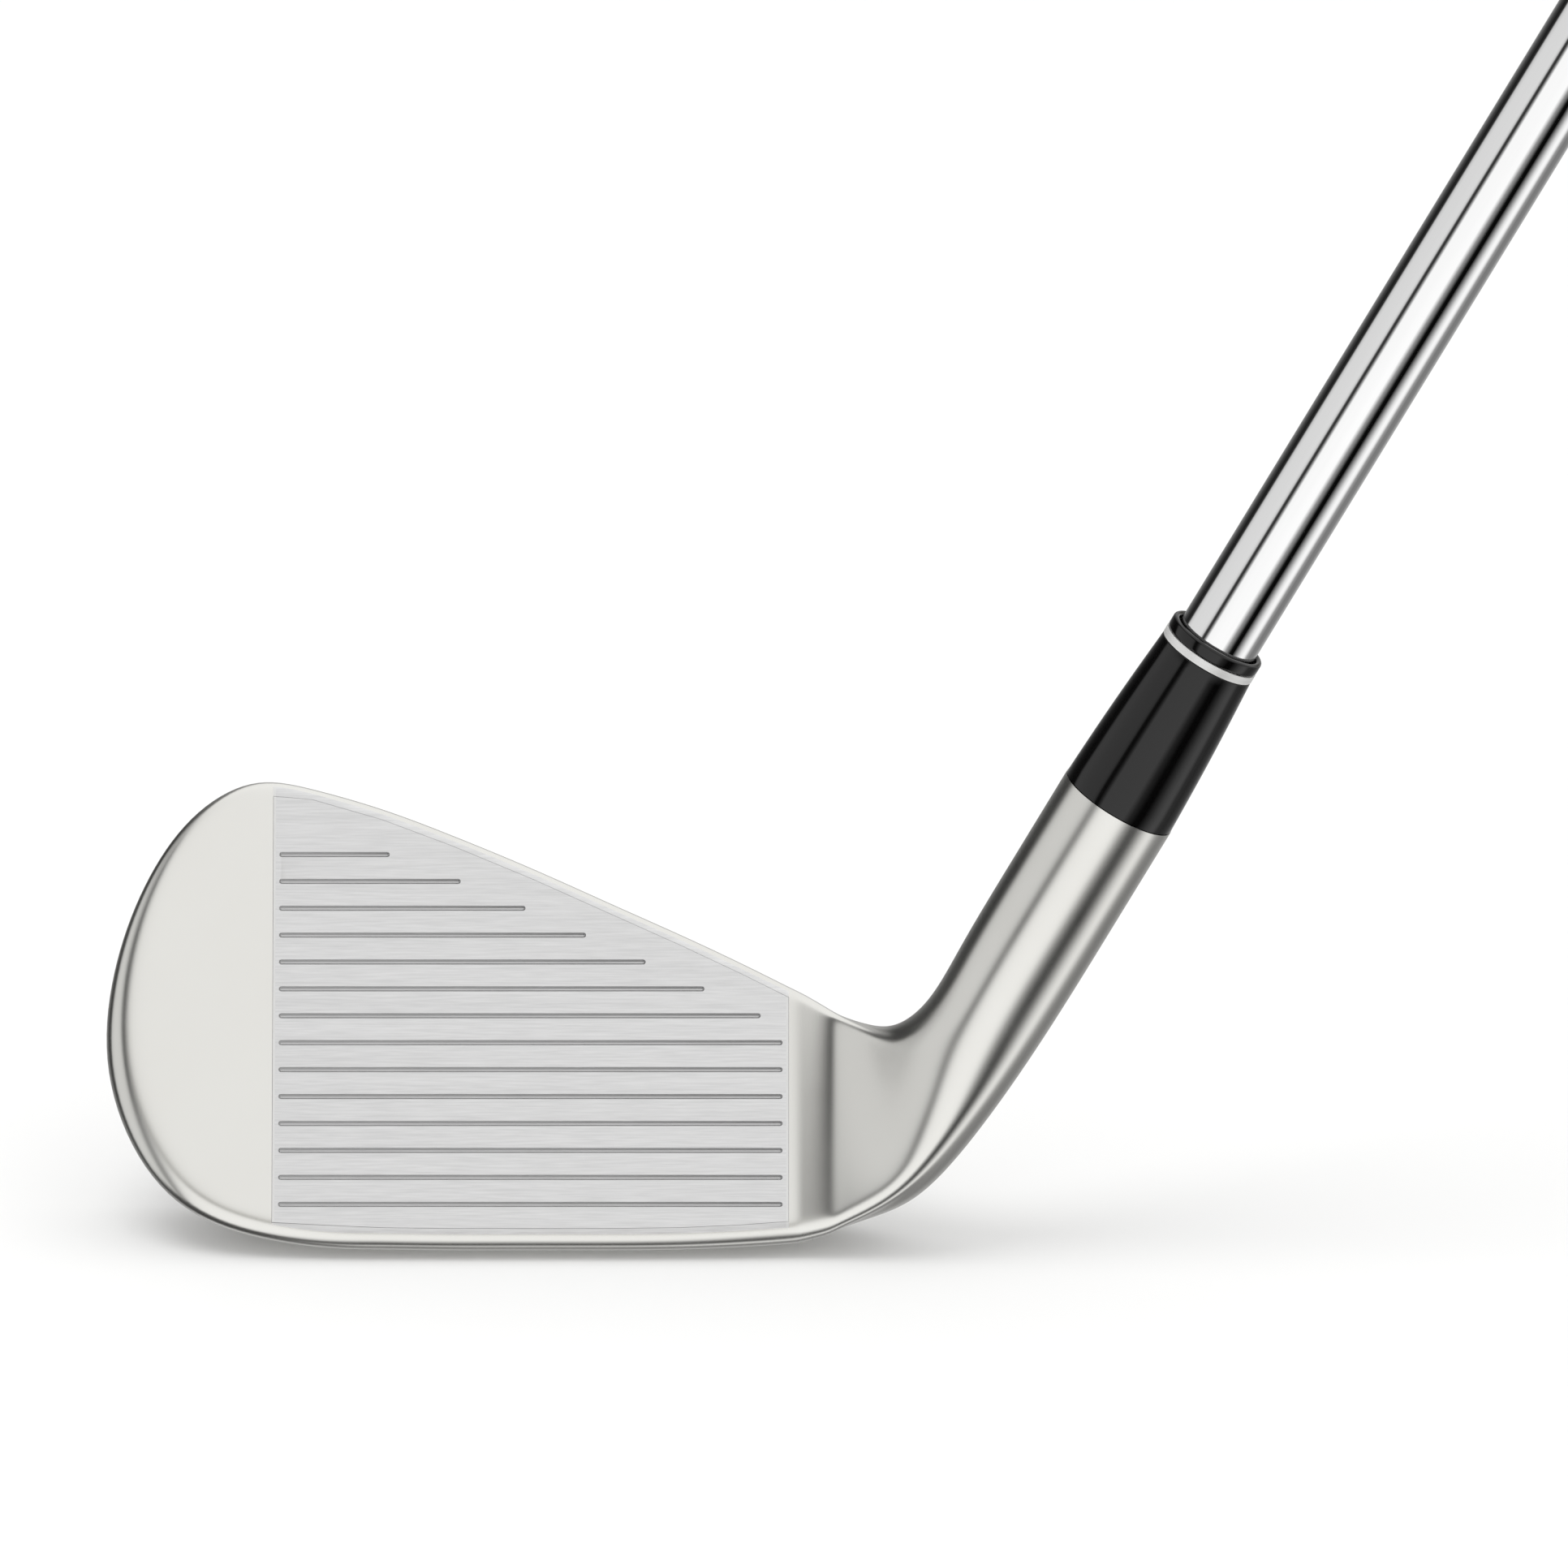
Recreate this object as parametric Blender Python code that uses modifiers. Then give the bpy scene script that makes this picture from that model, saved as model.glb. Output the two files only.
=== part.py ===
"""Right-handed cavity-back iron, built piece by piece as it comes apart on a bench.

Frame, in metres: the sole touches the ground at the origin. +X runs from toe to heel, -Y is where the
face looks, +Z is up. The outline of the head is given on the face plane, in millimetres, as (x, w):
x towards the heel and w up the face. A third number, d, is the depth behind the face.
"""

import bpy
import bmesh
from math import cos, pi, radians, sin
from mathutils import Matrix, Vector

MM = 0.001
GAP = 0.3  # clearance between touching pieces

# Set-up of the club
LOFT = radians(30)
LIE = radians(60)
CLUB_LENGTH = 940.0
FACE_Y, FACE_Z = -7.745, 3.720  # where the flat of the face starts, above the middle of the leading edge

# Hosel and shaft, measured along the shaft's axis from the ground
AXIS_X, AXIS_Y = 35.58, -4.65
HOSEL_RADIUS = 6.85
HOSEL_TOP = 62.34
BORE_RADIUS = 5.55
BORE_BOTTOM = 31.4
SHAFT_TIP = 33.0
SHAFT_BUTT = CLUB_LENGTH - 4.2
TIP_RADIUS = 4.75
BUTT_RADIUS = 7.62
WALL = 0.55
FIRST_STEP, LAST_STEP, STEPS = 215.0, 640.0, 13

# Ferrule
FERRULE_TOP = HOSEL_TOP + 22.4
RING_FOOT = HOSEL_TOP + 19.86
RING_HEIGHT = 1.0
RING_RADIUS = 5.72
FERRULE_FOOT_RADIUS, FERRULE_BELLY = 6.8, 0.12

# Pin and plug in the shaft's tip
PIN_RADIUS, PIN_STEM_RADIUS, PIN_STEM = 4.9, 3.7, 12.0
PLUG_RADIUS, PLUG_HEIGHT = 3.8, 7.0

# Grip
GRIP_MOUTH = CLUB_LENGTH - 267.0
GRIP_MOUTH_RADIUS, GRIP_BUTT_RADIUS = 9.75, 13.4
CAP_HEIGHT, VENT_RADIUS = 3.2, 1.2

# Head outline on the face plane: topline from heel to toe, round the toe, sole from heel to toe
TOPLINE = ((30, 28.15), (24, 31.2), (17, 34.55), (9, 38.2), (0, 42.3), (-9, 46.1), (-17, 49.15),
           (-25, 51.5), (-32, 52.1))
TOE = ((-38.8, 48.0), (-44.1, 40.0), (-47.4, 29.5), (-47.6, 17.5), (-43.2, 6.6))
SOLE = ((30, -1.65), (24, -2.1), (17, -2.42), (9, -2.516), (0, -2.516), (-9, -2.516), (-17, -2.42),
        (-25, -2.05), (-35.5, 0.4))
# Edge of the back cavity beside the same points: (x, w, d)
CAVITY_TOE = ((-31.0, 46.8, 7.3), (-36.0, 43.6, 7.5), (-39.8, 37.6, 8.0), (-41.8, 31.5, 8.8),
              (-41.0, 25.0, 9.4), (-38.0, 20.8, 9.2), (-33.5, 19.2, 8.8))
TOPLINE_THICKNESS = 7.0
TOPLINE_LAND = 4.6
MUSCLE_HEIGHT, MUSCLE_DEPTH = 18.5, 8.5
SOLE_WIDTH, SOLE_CAMBER = 21.1, 1.541
HEEL_NARROWING = (0.86, 0.95, 0.99)  # the sole's width at its three heel points, as a share
CONTACT = ((0.277, 1), (0.377, 1), (0.477, 1), (0.577, 1), (0.78, 0.62))  # along the sole, and its camber
FLOOR_DEPTH = 3.6
ROWS = 6  # rows of cage faces between topline and sole

# How far each toe point belongs to the sole, and the size of its rounded front edge
TOE_SOLENESS = (0.03, 0.12, 0.32, 0.62, 0.90)
TOE_FRONT = (0.75, 0.95, 1.25, 1.60, 1.70)
TOE_DRAFT = (0.7, 1.2, 1.8, 1.6, 0.8)
TOPLINE_FRONT, SOLE_FRONT = 0.67, 1.49
SOLE_BACK, TOPLINE_BACK = 1.3, 0.7
ROLL = 2.4  # a cage holds a rounded edge with points one and ROLL sizes either side of the corner

# Heel rings: crotch side (x, y, z), heel side (x, y, z), how round the ring is in front at the top, in
# front at the sole, and behind, and the sole's relief
HEEL = (
    ((31.4, 5.96, 27.57), (31.3, -8.52, 2.40), 0.02, 0.03, 0.08, 0.0),
    ((33.6, 5.22, 26.53), (33.7, -8.49, 2.81), 0.035, 0.08, 0.14, 0.5),
    ((35.4, 4.35, 25.85), (35.8, -8.4, 3.35), 0.05, 0.18, 0.235, 0.7),
    ((38.0, 2.60, 25.45), (40.0, -8.1, 4.70), 0.18, 0.44, 0.42, 0.6),
    ((40.9, 0.20, 25.75), (44.8, -7.2, 7.60), 0.48, 0.82, 0.65, 0.3),
    ((43.7, -2.20, 27.90), (50.2, -5.9, 13.70), 0.80, 0.92, 0.87, 0.0),
    ((46.3, -3.80, 31.60), (55.9, -4.9, 21.94), 0.95, 0.97, 0.97, 0.0),
)
HOSEL_RINGS = (39.5, 50.0, 61.6, HOSEL_TOP)

# Face insert and its grooves
PLATE_HALF = 29.4
PLATE_THICKNESS = 2.0
PLATE_TOP_MARGIN, PLATE_BOTTOM_MARGIN = 1.45, 2.75
GROOVES, GROOVE_PITCH, GROOVE_FIRST = 14, 3.126, 3.01
GROOVE_HALF, GROOVE_WIDTH, GROOVE_DEPTH = 28.7, 0.6, 0.45
GROOVE_MARGIN = 5.15  # from a groove's end down to the topline
CHANNEL_LEFT, CHANNEL_RIGHT, CHANNEL_FOOT, CHANNEL_MARGIN = -26.0, 12.0, 22.0, 8.4

# Badge
BADGE_HEEL, BADGE_FOOT, BADGE_TOP = 14.2, 21.3, 7.7
BADGE_TOE = ((-30.3, 44.0), (-34.4, 41.2), (-37.3, 36.3), (-38.9, 31.2), (-38.4, 26.3),
             (-36.2, 22.9), (-32.5, 21.3))

FACE_FRAME = Matrix((
    (1, 0, 0, 0),
    (0, sin(LOFT), -cos(LOFT), FACE_Y * MM),
    (0, cos(LOFT), sin(LOFT), FACE_Z * MM),
    (0, 0, 0, 1),
))
SHAFT_FRAME = (
    Matrix.Translation((AXIS_X * MM, AXIS_Y * MM, 0)) @ Matrix.Rotation(pi / 2 - LIE, 4, "Y")
)


def clear_scene():
    for obj in list(bpy.data.objects):
        bpy.data.objects.remove(obj)


def new_collection(name):
    collection = bpy.data.collections.new(name)
    bpy.context.scene.collection.children.link(collection)
    return collection


def material(name, colour, roughness, metallic):
    made = bpy.data.materials.new(name)
    made.use_nodes = True
    shader = made.node_tree.nodes["Principled BSDF"]
    shader.inputs["Base Color"].default_value = (*colour, 1)
    shader.inputs["Roughness"].default_value = roughness
    shader.inputs["Metallic"].default_value = metallic
    return made


def add_object(name, mesh, collection, made_of=None):
    obj = bpy.data.objects.new(name, mesh)
    collection.objects.link(obj)
    if made_of:
        mesh.materials.append(made_of)
    return obj


def shade_round(obj, angle=35):
    obj.data.shade_smooth()
    obj.data.set_sharp_from_angle(angle=radians(angle))


def as_cutter(obj):
    obj.hide_render = True
    obj.display_type = "WIRE"
    return obj


def cut(obj, cutter, name):
    boolean = obj.modifiers.new(name, "BOOLEAN")
    boolean.operation = "DIFFERENCE"
    boolean.solver = "EXACT"
    boolean.object = cutter


# ---------------------------------------------------------------- points on the head

def face_point(x, w, d):
    """A point given on the face plane and d behind it, in millimetres of the part's frame."""
    return Vector((x, FACE_Y + w * sin(LOFT) + d * cos(LOFT), FACE_Z + w * cos(LOFT) - d * sin(LOFT)))


def height_at(line, x):
    """Height w of the topline or the sole at x, between its points."""
    for (x1, w1), (x0, w0) in zip(line, line[1:]):
        if x0 <= x <= x1:
            return w0 + (w1 - w0) * (x - x0) / (x1 - x0)
    return line[0][1] if x > line[0][0] else line[-1][1]


def held(points, rounds=8):
    """Cage points whose subdivided curve passes through these points."""
    cage = [p.copy() for p in points]
    for _ in range(rounds):
        reached = [(a + 4 * b + c) / 6 for a, b, c in zip(cage, cage[1:], cage[2:])]
        for i, point in enumerate(reached, 1):
            cage[i] += points[i] - point
    return cage


def outline_sections():
    """The stations round the blade, each with what its cross-section needs."""
    top, toe, sole = len(TOPLINE), len(TOE), len(SOLE)
    given = [Vector((x, w)) for x, w in (*TOPLINE, *TOE, *reversed(SOLE))]
    places = held(given)
    soleness = [0.0] * top + list(TOE_SOLENESS) + [1.0] * sole
    front = [TOPLINE_FRONT] * top + list(TOE_FRONT) + [SOLE_FRONT] * sole
    draft = [0.4] * top + list(TOE_DRAFT) + [0.0] * sole
    widths = [1.0] * (top + len(TOE) + sole - 3) + list(reversed(HEEL_NARROWING))
    edges = [Vector((x, w - TOPLINE_LAND, TOPLINE_THICKNESS + 0.2)) for x, w in TOPLINE[:-1]]
    edges += [Vector(edge) for edge in CAVITY_TOE]
    edges += [Vector((x, MUSCLE_HEIGHT, MUSCLE_DEPTH)) for x, w in reversed(SOLE[:-1])]
    sections = []
    for i, place in enumerate(places):
        along = given[min(i + 1, len(given) - 1)] - given[max(i - 1, 0)]
        outward = Vector((along.y, -along.x)).normalized()
        if i >= top + toe and given[i].x > -30:
            outward = Vector((0, -1))
        sections.append(cross_section(place, outward, soleness[i], front[i], draft[i], edges[i], widths[i]))
    return sections


def cross_section(place, outward, soleness, front, draft, edge, width):
    """Cage points from the flat of the face, over the rim, to the edge of the back cavity."""
    out = Vector((outward.x, outward.y, 0))
    corner = Vector((place.x, place.y, 0))
    lift = soleness * width * SOLE_WIDTH * sin(LOFT)
    depth = TOPLINE_THICKNESS + soleness * (width * SOLE_WIDTH * cos(LOFT) - TOPLINE_THICKNESS)
    rear = corner + Vector((0, lift, depth)) - draft * out
    chord = rear - corner
    bulge = out - chord * (out.dot(chord) / chord.dot(chord))
    bulge = bulge.normalized() * (0.12 + (SOLE_CAMBER - 0.12) * soleness)
    middle = [corner + chord * share + bulge * height for share, height in CONTACT]
    back = TOPLINE_BACK + (SOLE_BACK - TOPLINE_BACK) * soleness
    start = (middle[0] - corner).normalized()
    end = (middle[-1] - rear).normalized()
    up_back = (edge - rear).normalized()
    return [
        corner - out * front * ROLL,
        corner - out * front,
        corner + start * front,
        corner + start * front * ROLL,
        *middle,
        rear + end * back * ROLL,
        rear + end * back,
        rear + up_back * back,
        rear + up_back * back * ROLL,
        rear.lerp(edge, 0.62),
        edge,
    ]


def blade_ring(sections, front_rows, back_rows):
    """The closed ring of cage points at the heel end of the blade."""
    top, sole = sections[0], sections[-1]
    return [*top, *back_rows, *reversed(sole), *reversed(front_rows)]


def heel_rings(ring, corner_top, corner_sole):
    """Rings that turn the blade's end into the round hosel."""
    count = len(ring)
    span = corner_top - corner_sole
    across = depth_direction(span)
    flat = [((p - corner_sole).dot(span) / span.dot(span), (p - corner_sole).dot(across)) for p in ring]
    swell = 3 / (2 + cos(2 * pi / count))
    angles = [(n - (len(flat) - 2 * (ROWS - 1)) / 4 + 0.5) * 2 * pi / count for n in range(count)]
    tops = [Vector(row[0]) for row in HEEL]
    soles = [Vector(row[1]) for row in HEEL]
    shares = [row[2:] for row in HEEL] + [(1.0, 1.0, 1.0, 0.0)] * len(HOSEL_RINGS)
    axis = Vector((cos(LIE), 0, sin(LIE)))
    side = Vector((-sin(LIE), 0, cos(LIE)))
    for along in HOSEL_RINGS:
        centre = Vector((AXIS_X, AXIS_Y, 0)) + axis * along
        tops.append(centre + side * HOSEL_RADIUS)
        soles.append(centre - side * HOSEL_RADIUS)
    fixed = len(HOSEL_RINGS)
    tops = held([corner_top, *tops])[1:-fixed] + tops[-fixed:]
    soles = held([corner_sole, *soles])[1:-fixed] + soles[-fixed:]
    rings = []
    strip = (count - 2 * (ROWS - 1)) // 2
    sole_first = strip + ROWS - 1
    for top, sole, (front_top, front_sole, back, relief) in zip(tops, soles, shares):
        span = top - sole
        across = depth_direction(span)
        points = []
        for n, ((along, deep), angle) in enumerate(zip(flat, angles)):
            behind = (1 + sin(angle)) / 2
            front = front_sole + (front_top - front_sole) * (1 + cos(angle)) / 2
            share = front + (back - front) * behind
            along += (0.5 + 0.5 * cos(angle) * swell - along) * share
            deep += (HOSEL_RADIUS * sin(angle) * swell - deep) * share
            point = sole + span * along + across * deep
            if sole_first <= n < sole_first + strip - 3:
                point.z += relief * (1 - behind)
            points.append(point)
        rings.append(points)
    return rings


def depth_direction(span):
    """Backwards, square to the ring's span."""
    back = Vector((0, 1, 0))
    return (back - span * (back.dot(span) / span.dot(span))).normalized()


def head_cage(mesh):
    """Fills the bmesh with the head's cage and returns its cavity faces and its hosel-top edges."""
    sections = [[face_point(*p) for p in section] for section in outline_sections()]
    strips = [[mesh.verts.new(p) for p in section] for section in sections]
    columns = len(TOPLINE)
    last = len(strips) - 1
    for a, b in zip(strips, strips[1:]):
        for k in range(len(a) - 1):
            mesh.faces.new((a[k], a[k + 1], b[k + 1], b[k]))

    def grid(k):
        """Rows of points between topline and sole, closed by the toe, at the strip's end k."""
        rows = [[strips[m][k] for m in range(columns)]]
        for r in range(1, ROWS):
            row = []
            for m in range(columns - 1):
                upper, lower = strips[m][k].co, strips[last - m][k].co
                row.append(mesh.verts.new(upper.lerp(lower, r / ROWS)))
            rows.append([*row, strips[columns - 1 + r][k]])
        rows.append([strips[last - m][k] for m in range(columns)])
        return rows

    front, back = grid(0), grid(-1)
    cavity = []
    for r in range(ROWS):
        for m in range(columns - 1):
            mesh.faces.new((front[r][m], front[r][m + 1], front[r + 1][m + 1], front[r + 1][m]))
            made = mesh.faces.new((back[r][m], back[r + 1][m], back[r + 1][m + 1], back[r][m + 1]))
            if m >= 2:
                cavity.append(made)

    front_rows = [front[r][0] for r in range(1, ROWS)]
    back_rows = [back[r][0] for r in range(1, ROWS)]
    ring = blade_ring(strips[::last], front_rows, back_rows)
    corner_top = face_point(*TOPLINE[0], 0)
    corner_sole = face_point(*SOLE[0], 0)
    for points in heel_rings([v.co.copy() for v in ring], corner_top, corner_sole):
        following = [mesh.verts.new(p) for p in points]
        for n in range(len(ring)):
            after = (n + 1) % len(ring)
            mesh.faces.new((ring[n], ring[after], following[after], following[n]))
        ring = following
    cap = mesh.faces.new(ring)
    return cavity, cap


def depth_of(point):
    return (point.y - FACE_Y) * cos(LOFT) - (point.z - FACE_Z) * sin(LOFT)


def sink(vertices, depth):
    """Moves vertices square to the face until they lie at this depth."""
    normal = Vector((0, cos(LOFT), -sin(LOFT)))
    for vertex in vertices:
        vertex.co += normal * (depth(vertex.co) - depth_of(vertex.co))


def cavity_pocket(mesh, faces):
    """Insets the cavity's faces loop by loop and sinks them to the flat floor."""
    levels = (
        (0.8, lambda p: depth_of(p)),
        (0.4, lambda p: depth_of(p) - 0.7),
        (0.5, lambda p: FLOOR_DEPTH + 0.7),
        (0.6, lambda p: FLOOR_DEPTH),
    )
    for thickness, depth in levels:
        bmesh.ops.inset_region(mesh, faces=faces, thickness=thickness, use_even_offset=True)
        sink({v for face in faces for v in face.verts}, depth)


def face_outline(margin_side, margin_top, margin_bottom):
    """The insert's outline on the face, as (x, w) points."""
    half = PLATE_HALF - margin_side
    xs = [half, *(x for x, w in TOPLINE if -half < x < half), -half]
    top = [(x, height_at(TOPLINE, x) - margin_top) for x in xs]
    toe_most = SOLE[-2][0] - 1  # past here the sole line already climbs round the toe
    bottom = [(x, height_at(SOLE, max(x, toe_most)) + margin_bottom) for x in reversed(xs) if x]
    return top + bottom


def channel_outline(margin):
    """The opening behind the insert, rounded at its corners."""
    left, right = CHANNEL_LEFT + margin, CHANNEL_RIGHT - margin
    corners = [
        (right, height_at(TOPLINE, right) - CHANNEL_MARGIN - margin),
        (left, height_at(TOPLINE, left) - CHANNEL_MARGIN - margin),
        (left, CHANNEL_FOOT + margin),
        (right, CHANNEL_FOOT + margin),
    ]
    return rounded(corners, 2.5)


def badge_outline(margin):
    """The badge fills the cavity's floor: along the topline, round the toe, and back along the muscle."""
    top = [(x, height_at(TOPLINE, x) - BADGE_TOP) for x in (BADGE_HEEL, 9, 0, -9, -17, -25)]
    corners = [*top, *BADGE_TOE, (BADGE_HEEL, BADGE_FOOT)]
    middle = Vector((-10, 30))
    return rounded([tuple(Vector(c) + (middle - Vector(c)).normalized() * margin) for c in corners], 1.2)


def rounded(corners, radius, steps=4):
    """The polygon with each corner replaced by a short curve."""
    points = []
    for before, corner, after in zip(corners[-1:] + corners[:-1], corners, corners[1:] + corners[:1]):
        here = Vector(corner)
        start = here + (Vector(before) - here).normalized() * radius
        end = here + (Vector(after) - here).normalized() * radius
        for i in range(steps + 1):
            t = i / steps
            points.append(tuple(start * (1 - t) ** 2 + here * 2 * t * (1 - t) + end * t ** 2))
    return points


def slab(name, outline, near, far, collection, made_of=None):
    """A flat piece with this outline, from depth near to depth far behind the face."""
    curve = bpy.data.curves.new(name, "CURVE")
    curve.dimensions = "2D"
    curve.fill_mode = "BOTH"
    curve.extrude = (far - near) / 2 * MM
    spline = curve.splines.new("POLY")
    spline.points.add(len(outline) - 1)
    for point, (x, w) in zip(spline.points, outline):
        point.co = (x * MM, w * MM, 0, 1)
    spline.use_cyclic_u = True
    drawn = bpy.data.objects.new(name + "_outline", curve)
    drawn.matrix_world = FACE_FRAME @ Matrix.Translation((0, 0, -(near + far) / 2 * MM))
    collection.objects.link(drawn)
    graph = bpy.context.evaluated_depsgraph_get()
    mesh = bpy.data.meshes.new_from_object(drawn.evaluated_get(graph))
    work = bmesh.new()
    work.from_mesh(mesh)
    bmesh.ops.remove_doubles(work, verts=work.verts, dist=1e-7)
    work.to_mesh(mesh)
    work.free()
    obj = add_object(name, mesh, collection, made_of)
    obj.matrix_world = drawn.matrix_world
    bpy.data.objects.remove(drawn)
    return obj


# ---------------------------------------------------------------- the head and what sits in it

def head_body(parts, cutters, steel):
    work = bmesh.new()
    cavity, cap = head_cage(work)
    cavity_pocket(work, cavity)
    bmesh.ops.recalc_face_normals(work, faces=work.faces)
    crease = work.edges.layers.float.new("crease_edge")
    for edge in cap.edges:
        edge[crease] = 1.0
    bmesh.ops.scale(work, verts=work.verts, vec=(MM, MM, MM))
    mesh = bpy.data.meshes.new("head_body")
    work.to_mesh(mesh)
    work.free()
    head = add_object("head_body", mesh, parts, steel)
    smooth = head.modifiers.new("smooth surface", "SUBSURF")
    smooth.levels = smooth.render_levels = 1
    window = slab("window_cutter", face_outline(0, PLATE_TOP_MARGIN - GAP, PLATE_BOTTOM_MARGIN - GAP),
                  -2, PLATE_THICKNESS + GAP, cutters)
    cut(head, as_cutter(window), "window")
    channel = slab("channel_cutter", channel_outline(0), 1, 6, cutters)
    cut(head, as_cutter(channel), "channel")
    bore = turned("bore_cutter", [(BORE_RADIUS, HOSEL_TOP + 5), (BORE_RADIUS, BORE_BOTTOM)], cutters,
                  SHAFT_FRAME)
    cut(head, as_cutter(bore), "hosel bore")
    shade_round(head)
    return head


def groove_ends():
    """(height, left end, right end) of each groove, from the lowest up."""
    ends = []
    for i in range(GROOVES):
        w = GROOVE_FIRST + i * GROOVE_PITCH
        right = GROOVE_HALF
        while height_at(TOPLINE, right) - w < GROOVE_MARGIN:
            right -= 0.1
        ends.append((w, -GROOVE_HALF, right))
    return ends


def face_plate(parts, cutters, steel):
    plate = slab("face_plate", face_outline(GAP, PLATE_TOP_MARGIN, PLATE_BOTTOM_MARGIN), 0, PLATE_THICKNESS,
                 parts, steel)
    for i, (w, left, right) in enumerate(groove_ends(), 1):
        half = GROOVE_WIDTH / 2
        outline = [(right - half + half * sin(a * pi / 4), w - half * cos(a * pi / 4)) for a in range(5)]
        outline += [(left + half - half * sin(a * pi / 4), w + half * cos(a * pi / 4)) for a in range(5)]
        groove = slab(f"groove_cutter_{i:02}", outline, -1, GROOVE_DEPTH, cutters)
        cut(plate, as_cutter(groove), f"groove {i}")
    return plate


def cavity_pieces(parts, rubber, tape, badge):
    slab("cavity_damper", channel_outline(GAP), PLATE_THICKNESS + GAP, 4.0, parts, rubber)
    slab("badge_tape", badge_outline(1.0), 4.3, 4.5, parts, tape)
    slab("back_badge", badge_outline(0.0), 4.8, 5.5, parts, badge)


# ---------------------------------------------------------------- turned pieces on the shaft's axis

def turned(name, outer, collection, frame, steps=32, made_of=None, inner=None):
    """A turned piece. outer runs down as (radius, height) points; inner, if any, is its bore and runs up."""
    if inner:
        profile = [*outer, *inner, outer[0]]
    else:
        profile = [(0, outer[0][1]), *outer, (0, outer[-1][1])]
    work = bmesh.new()
    points = [work.verts.new((r * MM, 0, z * MM)) for r, z in profile[:-1]]
    points.append(points[0] if inner else work.verts.new((0, 0, profile[-1][1] * MM)))
    for a, b in zip(points, points[1:]):
        work.edges.new((a, b))
    mesh = bpy.data.meshes.new(name)
    work.to_mesh(mesh)
    work.free()
    obj = add_object(name, mesh, collection, made_of)
    obj.matrix_world = frame
    screw = obj.modifiers.new("turned", "SCREW")
    screw.steps = screw.render_steps = steps
    screw.use_merge_vertices = True
    screw.merge_threshold = 1e-6
    screw.use_smooth_shade = True
    return obj


def tube(name, top, foot, outer_top, outer_foot, bore, parts, made_of, steps=32):
    return turned(name, [(outer_top, top), (outer_foot, foot)], parts, SHAFT_FRAME, steps, made_of,
                  [(bore, foot), (bore, top)])


def shaft_profile():
    """Outer radii from butt to tip, one pair of points at each step."""
    profile = [(BUTT_RADIUS, SHAFT_BUTT)]
    drop = (BUTT_RADIUS - TIP_RADIUS) / STEPS
    pitch = (LAST_STEP - FIRST_STEP) / (STEPS - 1)
    for i in range(STEPS):
        radius = BUTT_RADIUS - i * drop
        height = LAST_STEP - i * pitch
        profile += [(radius, height + 0.6), (radius - drop, height - 0.6)]
    return [*profile, (TIP_RADIUS, SHAFT_TIP)]


def shaft(parts, chrome):
    outer = shaft_profile()
    inner = [(TIP_RADIUS - WALL, SHAFT_TIP), (TIP_RADIUS - WALL, FIRST_STEP - 8),
             (BUTT_RADIUS - WALL, LAST_STEP + 8), (BUTT_RADIUS - WALL, SHAFT_BUTT)]
    turned("shaft", outer, parts, SHAFT_FRAME, 32, chrome, inner)


def hosel_pieces(parts, adhesive, brass, cork):
    bond = BORE_RADIUS - 0.22
    tube("hosel_epoxy", HOSEL_TOP - 0.5, SHAFT_TIP, bond, bond, TIP_RADIUS + 0.28, parts, adhesive)
    stem_top = SHAFT_TIP + PIN_STEM
    pin = [(PIN_STEM_RADIUS, stem_top), (PIN_STEM_RADIUS, SHAFT_TIP - GAP),
           (PIN_RADIUS, SHAFT_TIP - GAP), (PIN_RADIUS, BORE_BOTTOM + GAP)]
    turned("tip_weight_pin", pin, parts, SHAFT_FRAME, 24, brass)
    cork_piece = [(PLUG_RADIUS, stem_top + PLUG_HEIGHT), (PLUG_RADIUS, stem_top + GAP)]
    turned("tip_plug", cork_piece, parts, SHAFT_FRAME, 24, cork)


def ferrule(parts, black, silver):
    bore = TIP_RADIUS + 0.25
    foot = HOSEL_TOP + GAP / 2
    body = [(RING_RADIUS, RING_FOOT - GAP / 2)]
    for i in range(1, 6):
        share = i / 6
        taper = RING_RADIUS + (FERRULE_FOOT_RADIUS - RING_RADIUS) * share
        body.append((taper + FERRULE_BELLY * sin(pi * share), RING_FOOT + (foot - RING_FOOT) * share))
    body.append((FERRULE_FOOT_RADIUS, foot))
    turned("ferrule_body", body, parts, SHAFT_FRAME, 32, black, [(bore, foot), (bore, RING_FOOT - GAP / 2)])
    ring_top = RING_FOOT + RING_HEIGHT - GAP / 2
    tube("ferrule_trim_ring", ring_top, RING_FOOT + GAP / 2, RING_RADIUS, RING_RADIUS, bore, parts, silver)
    low = RING_FOOT + RING_HEIGHT + GAP / 2
    turned("ferrule_top_ring", [(RING_RADIUS - 0.3, FERRULE_TOP), (RING_RADIUS, FERRULE_TOP - 0.3),
                                (RING_RADIUS, low)], parts, SHAFT_FRAME, 32, black,
           [(bore, low), (bore, FERRULE_TOP)])


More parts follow.
